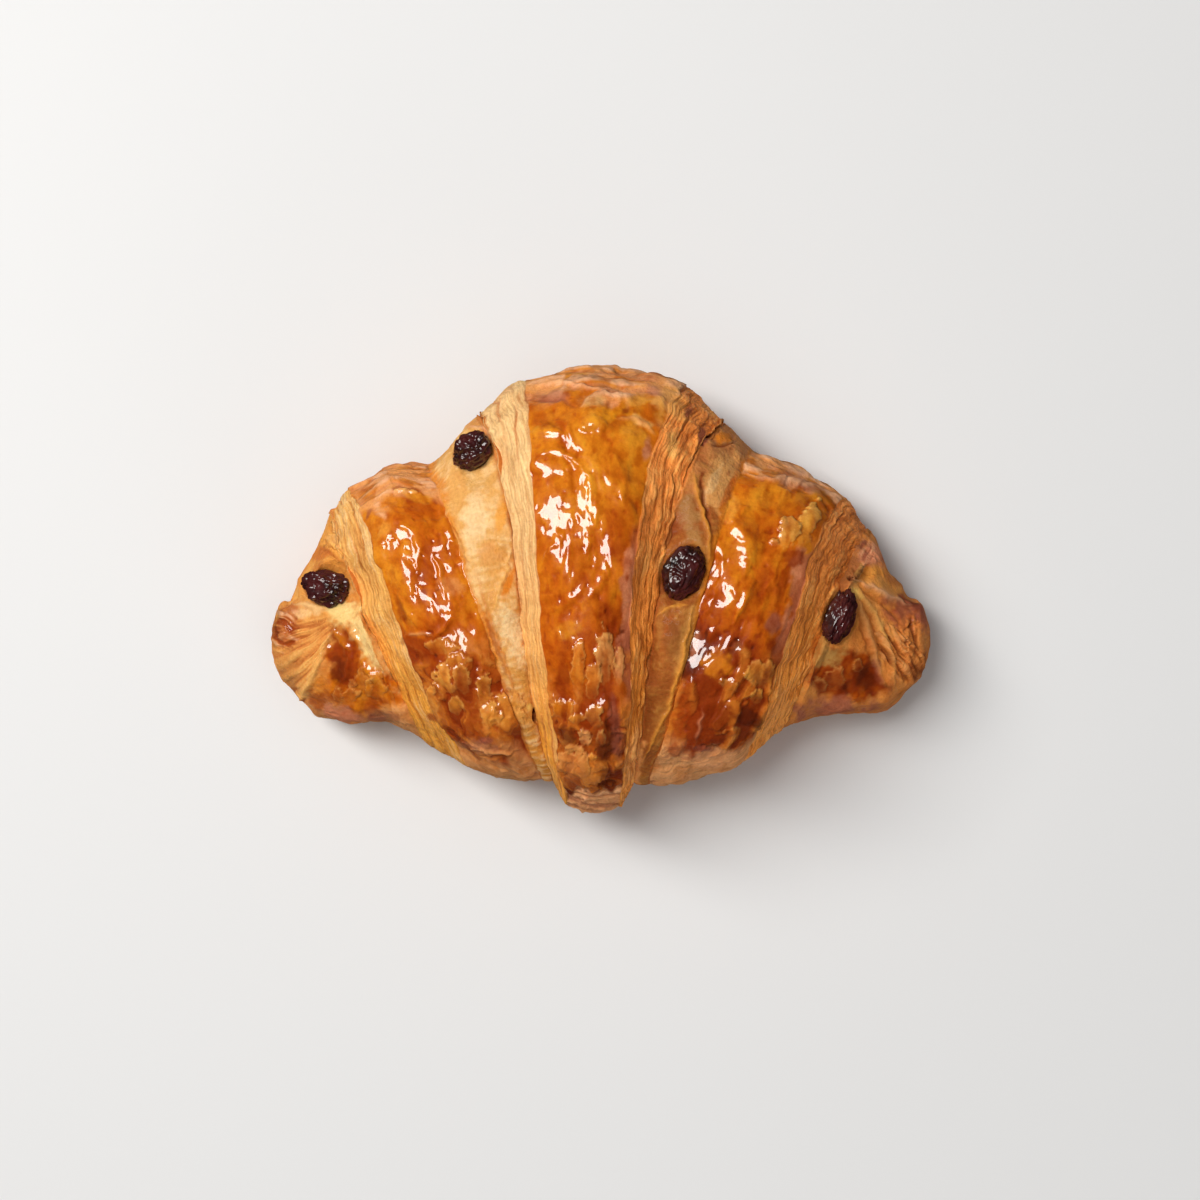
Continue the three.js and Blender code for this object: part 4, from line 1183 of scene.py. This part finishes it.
def right_horn():
    sleeve = horn(RIGHT_TIP_FOOT, RIGHT_TIP_RIM, RIGHT_SIDE_FOOT, False)
    sleeve.paint(SIENNA, 0.4 * sleeve.top)
    bottom_skin(sleeve, 34, TAN, *HORN_ZONES)
    horn_glaze(sleeve, (59.2, -20.8), (11.6, 7.4), 0, 0.76)
    sleeve.paint(BURNT, 0.6 * sleeve.patch((64.6, -22), (3, 3.4), 20, 0.3, 0.6))
    marked(sleeve, "horn_right")
    wrinkles(sleeve, (72.6, -16), (9.5, 5), -58, 0.8, (BROWN, PEACH), 0.9)
    wrinkles(sleeve, (76.4, -14.5), (9, 3), -82, 0.7, (BROWN, TAN), 0.5)
    wrinkles(sleeve, (64.6, 9.4), (3, 2.4), 75, 0.7, (MAUVE, PINK), 0.2)
    sleeve.layers += 0.5 * sleeve.patch((74, -17), (6.5, 9.5), 0, 0.3, 0.6)
    sleeve.relief -= 1.2 * sleeve.patch((63, 4.2), (3.4, 2.4), 15, 0.2, 0.6)
    notch = sleeve.patch((60.4, 2.9), (0.9, 0.9), 0, 0.2)
    sleeve.relief -= 1.2 * notch
    # Painted shade: the notch is painted near black
    sleeve.paint(BURNT, notch)
    sleeve.gloss(0.8 * sleeve.patch((73.4, -5), (4.6, 2.8), -15))
    sleeve.gloss(0.4 * sleeve.patch((73, -15), (8, 10)))
    return sleeve


def with_ends(values):
    """The values of a grid in one row, followed by the means of its first and its last column."""
    width = values.shape[-1]
    ends = np.stack([values[:, 0].mean(axis=0), values[:, -1].mean(axis=0)])
    return np.concatenate([values.reshape(-1, width), ends]).astype(np.float32).ravel()


def grid_faces(rows, columns):
    """Quads of a grid that is closed round the section, and triangles to a point at either end."""
    index = np.arange(rows * columns).reshape(rows, columns)
    after = np.roll(index, -1, axis=0)
    quads = np.stack([index[:, :-1], index[:, 1:], after[:, 1:], after[:, :-1]], -1).reshape(-1, 4)
    left, right = np.full(rows, rows * columns), np.full(rows, rows * columns + 1)
    fans = [
        np.stack([left, index[:, 0], after[:, 0]], -1),
        np.stack([right, after[:, -1], index[:, -1]], -1),
    ]
    return quads, np.concatenate(fans)


def placed(name, data):
    """A new object in the scene."""
    item = bpy.data.objects.new(name, data)
    bpy.context.scene.collection.objects.link(item)
    return item


def closed_mesh(name, place, masks, flow, colour):
    """An object of a closed grid, with its masks, flow and colour at each point."""
    points = with_ends(place * MM)
    quads, triangles = grid_faces(*place.shape[:2])
    mesh = bpy.data.meshes.new(name)
    mesh.vertices.add(len(points) // 3)
    mesh.vertices.foreach_set("co", points)
    corners = np.concatenate([quads.ravel(), triangles.ravel()])
    mesh.loops.add(len(corners))
    mesh.loops.foreach_set("vertex_index", corners.astype(np.int32))
    sizes = np.concatenate([np.full(len(quads), 4), np.full(len(triangles), 3)])
    starts = np.cumsum(sizes) - sizes
    mesh.polygons.add(len(sizes))
    mesh.polygons.foreach_set("loop_start", starts.astype(np.int32))
    mesh.polygons.foreach_set("use_smooth", np.ones(len(sizes), bool))
    mesh.update(calc_edges=True)
    opaque = np.concatenate([colour, np.ones_like(colour[..., :1])], axis=-1)
    attributes = [(key, "FLOAT", "value", values[..., None]) for key, values in masks.items()]
    attributes.append(("flow", "FLOAT_VECTOR", "vector", flow))
    attributes.append(("crust", "FLOAT_COLOR", "color", opaque))
    for key, kind, field, values in attributes:
        mesh.attributes.new(key, kind, "POINT").data.foreach_set(field, with_ends(values))
    mesh.validate()
    return placed(name, mesh)


class Nodes:
    """A short way to build a material's nodes."""

    def __init__(self, name):
        self.material = bpy.data.materials.new(name)
        self.material.use_nodes = True
        self.tree = self.material.node_tree
        self.shader = self.tree.nodes["Principled BSDF"]

    def add(self, kind, inputs=None, **settings):
        node = self.tree.nodes.new(kind)
        for key, value in settings.items():
            setattr(node, key, value)
        for key, value in (inputs or {}).items():
            self.put(node.inputs[key], value)
        return node

    def put(self, socket, value):
        if isinstance(value, bpy.types.NodeSocket):
            self.tree.links.new(value, socket)
        else:
            socket.default_value = value

    def set(self, **inputs):
        for key, value in inputs.items():
            self.put(self.shader.inputs[key.replace("_", " ").title().replace("Ior", "IOR")], value)

    def attribute(self, name, output="Fac"):
        return self.add("ShaderNodeAttribute", attribute_name=name).outputs[output]

    def noise(self, scale, detail):
        where = self.add("ShaderNodeTexCoord").outputs["Object"]
        inputs = {"Vector": where, "Scale": scale, "Detail": detail, "Roughness": 0.55}
        return self.add("ShaderNodeTexNoise", inputs).outputs["Fac"]

    def flow_noise(self, scale, detail):
        """Noise along the crust's own lines: millimetres across a wrap and along it."""
        flow = self.attribute("flow", "Vector")
        where = self.add("ShaderNodeVectorMath", {0: flow, 1: scale}, operation="MULTIPLY").outputs[0]
        inputs = {"Vector": where, "Scale": 1.0, "Detail": detail}
        return self.add("ShaderNodeTexNoise", inputs).outputs["Fac"]

    def math(self, operation, first, second):
        return self.add("ShaderNodeMath", {0: first, 1: second}, operation=operation).outputs["Value"]

    def ramp(self, factor, stops):
        node = self.add("ShaderNodeValToRGB", {"Fac": factor})
        elements = node.color_ramp.elements
        while len(elements) < len(stops):
            elements.new(0.5)
        for element, (position, colour) in zip(elements, stops):
            element.position = position
            element.color = (*colour, 1)
        return node.outputs["Color"]

    def tint(self, strength, colour, shade):
        """A colour multiplied by a shade."""
        node = self.add("ShaderNodeMix", {"Factor": strength}, data_type="RGBA", blend_type="MULTIPLY")
        self.put(node.inputs[6], colour)
        self.put(node.inputs[7], shade)
        return node.outputs[2]

    def bump(self, height, distance, strength):
        inputs = {"Height": height, "Distance": distance, "Strength": strength}
        self.put(self.shader.inputs["Normal"], self.add("ShaderNodeBump", inputs).outputs["Normal"])


def crust_material():
    """Crust whose colour and gloss vary from place to place, with fibres along its layers."""
    nodes = Nodes("baked crust")
    glaze, layers = nodes.attribute("glaze"), nodes.attribute("layers")
    grain = nodes.noise(1300, 4)
    fibres = nodes.flow_noise((1.9, 0.1, 1), 4)
    hairlines = nodes.flow_noise((0.85, 0.07, 1.7), 2)
    mottles = nodes.flow_noise((0.5, 0.36, 1), 5)
    colour = nodes.attribute("crust", "Color")
    shades = [
        (1.0, grain, GRAIN_SHADE),
        (layers, fibres, FIBRE_SHADE),
        (nodes.math("MULTIPLY", layers, 0.6), hairlines, HAIRLINE_SHADE),
        (nodes.math("ADD", 0.15, nodes.math("MULTIPLY", glaze, 0.7)), mottles, MOTTLE_SHADE),
    ]
    for strength, pattern, shade in shades:
        colour = nodes.tint(strength, colour, nodes.ramp(pattern, shade))
    roughness = nodes.math("SUBTRACT", 0.6, nodes.math("MULTIPLY", glaze, 0.28))
    nodes.set(base_color=colour, roughness=roughness)
    nodes.set(coat_weight=glaze, coat_roughness=0.05, coat_ior=1.6)
    threads = nodes.math("MULTIPLY", nodes.math("MULTIPLY", fibres, layers), 1.4)
    dull = nodes.math("SUBTRACT", 1.0, nodes.math("MULTIPLY", glaze, 0.8))
    nodes.bump(nodes.math("ADD", grain, threads), 0.35 * MM, dull)
    nodes.set(subsurface_weight=0.1, subsurface_scale=2 * MM, specular_ior_level=0.12)
    nodes.shader.inputs["Subsurface Radius"].default_value = (1.0, 0.45, 0.2)
    return nodes.material


def raisin_material():
    nodes = Nodes("raisin skin")
    grain = nodes.noise(1500, 3)
    folds = nodes.ramp(nodes.noise(230, 3), RAISIN_COLOURS)
    nodes.set(base_color=folds, roughness=0.5, specular_ior_level=0.15)
    nodes.set(coat_weight=1.0, coat_roughness=0.07)
    nodes.bump(grain, 0.2 * MM, 0.5)
    return nodes.material


def wrinkled(unit, node):
    """The points of a unit ball as a raisin in the place of its solid, along the solid's own axes."""
    centre, axes, half = raisin_oval(node)
    x, y, z = unit.T
    seed = 3 * len(node) + 1
    lobe_height = RIGHT_LOBES if "right" in node else LEFT_LOBES
    bend = 0.5 * noise(x * 1.5, y * 1.5, z * 1.5, seed)
    lobes = rough(x * 1.5, y * 1.5, z * 1.5, seed + 3, 2)
    folds = np.abs(noise(x * 1.6 + bend, y * 3.6 + bend, z * 3.6 - bend, seed + 5)) ** 0.7
    puckers = np.abs(noise(x * 4.4, y * 7 + bend, z * 7, seed + 9)) ** 0.8
    size = 0.86 + lobe_height * lobes + 0.2 * folds + 0.09 * puckers
    skin = unit * size[:, None] * half
    low, high = np.percentile(skin, [0.3, 99.7], axis=0)
    skin = (skin - (low + high) / 2) * 2 * half / (high - low)
    return centre + skin @ axes


def raisin(node, material):
    mesh = bpy.data.meshes.new(node + "_skin")
    ball = bmesh.new()
    bmesh.ops.create_icosphere(ball, subdivisions=6, radius=1)
    ball.to_mesh(mesh)
    ball.free()
    points = wrinkled(np.array([vertex.co for vertex in mesh.vertices]), node)
    mesh.vertices.foreach_set("co", points.astype(np.float32).ravel())
    mesh.polygons.foreach_set("use_smooth", np.ones(len(mesh.polygons), bool))
    mesh.materials.append(material)
    mesh.update()
    piece = placed(node + "_skin", mesh)
    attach(piece, "root")
    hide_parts(node)


def area_light(name, where, target, size, power, colour, in_gloss):
    data = bpy.data.lights.new(name, "AREA")
    data.shape = "RECTANGLE"
    data.size, data.size_y = size
    data.energy = power
    data.color = colour
    light = placed(name, data)
    light.location = where
    light.rotation_euler = (Vector(target) - Vector(where)).to_track_quat("-Z", "Y").to_euler()
    light.visible_glossy = in_gloss


def camera():
    data = bpy.data.cameras.new("camera")
    data.lens = LENS
    data.sensor_width = SENSOR
    item = placed("camera", data)
    item.location = (*(VIEW_CENTRE * MM), CAMERA_HEIGHT * MM)
    bpy.context.scene.camera = item


def table():
    """A wide pale table under the croissant, which its glaze doesn't mirror."""
    mesh = bpy.data.meshes.new("table")
    half = TABLE_HALF
    corners = [(-half, -half, 0), (half, -half, 0), (half, half, 0), (-half, half, 0)]
    mesh.from_pydata(corners, [], [(0, 1, 2, 3)])
    top = placed("table", mesh)
    nodes = Nodes("pale table")
    nodes.set(base_color=TABLE_COLOUR, roughness=0.6)
    mesh.materials.append(nodes.material)
    top.visible_glossy = False


def studio():
    camera()
    table()
    for name, values in LIGHTS.items():
        area_light(name, *values)
    world = bpy.data.worlds.new("soft room")
    bpy.context.scene.world = world
    world.use_nodes = True
    background = world.node_tree.nodes["Background"].inputs
    background["Color"].default_value = ROOM_COLOUR
    background["Strength"].default_value = ROOM_STRENGTH
    world.cycles_visibility.glossy = False
    bpy.context.scene.view_settings.view_transform = "Standard"


studio()

# The dough: five sleeves in the place of the solid croissant
crust_look = crust_material()
wraps = {
    "wrap_middle": middle_wrap,
    "wrap_left": left_wrap,
    "wrap_right": right_wrap,
    "horn_left": left_horn,
    "horn_right": right_horn,
}
for name, make in wraps.items():
    sleeve = make()
    press_raisins(sleeve)
    underside(sleeve)
    masks = {"glaze": np.clip(sleeve.glaze, 0, 1), "layers": sleeve.layers}
    across = sleeve.across + ZONE_APART * sleeve.zone
    flow = np.stack([across, sleeve.along, 0 * sleeve.x + sleeve.seed], -1)
    piece = closed_mesh(name, sleeve.place(), masks, flow, sleeve.colour)
    piece.data.materials.append(crust_look)
    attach(piece, "root")
    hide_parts("croissant")

raisin_look = raisin_material()
for node in RAISIN_FILL:
    raisin(node, raisin_look)
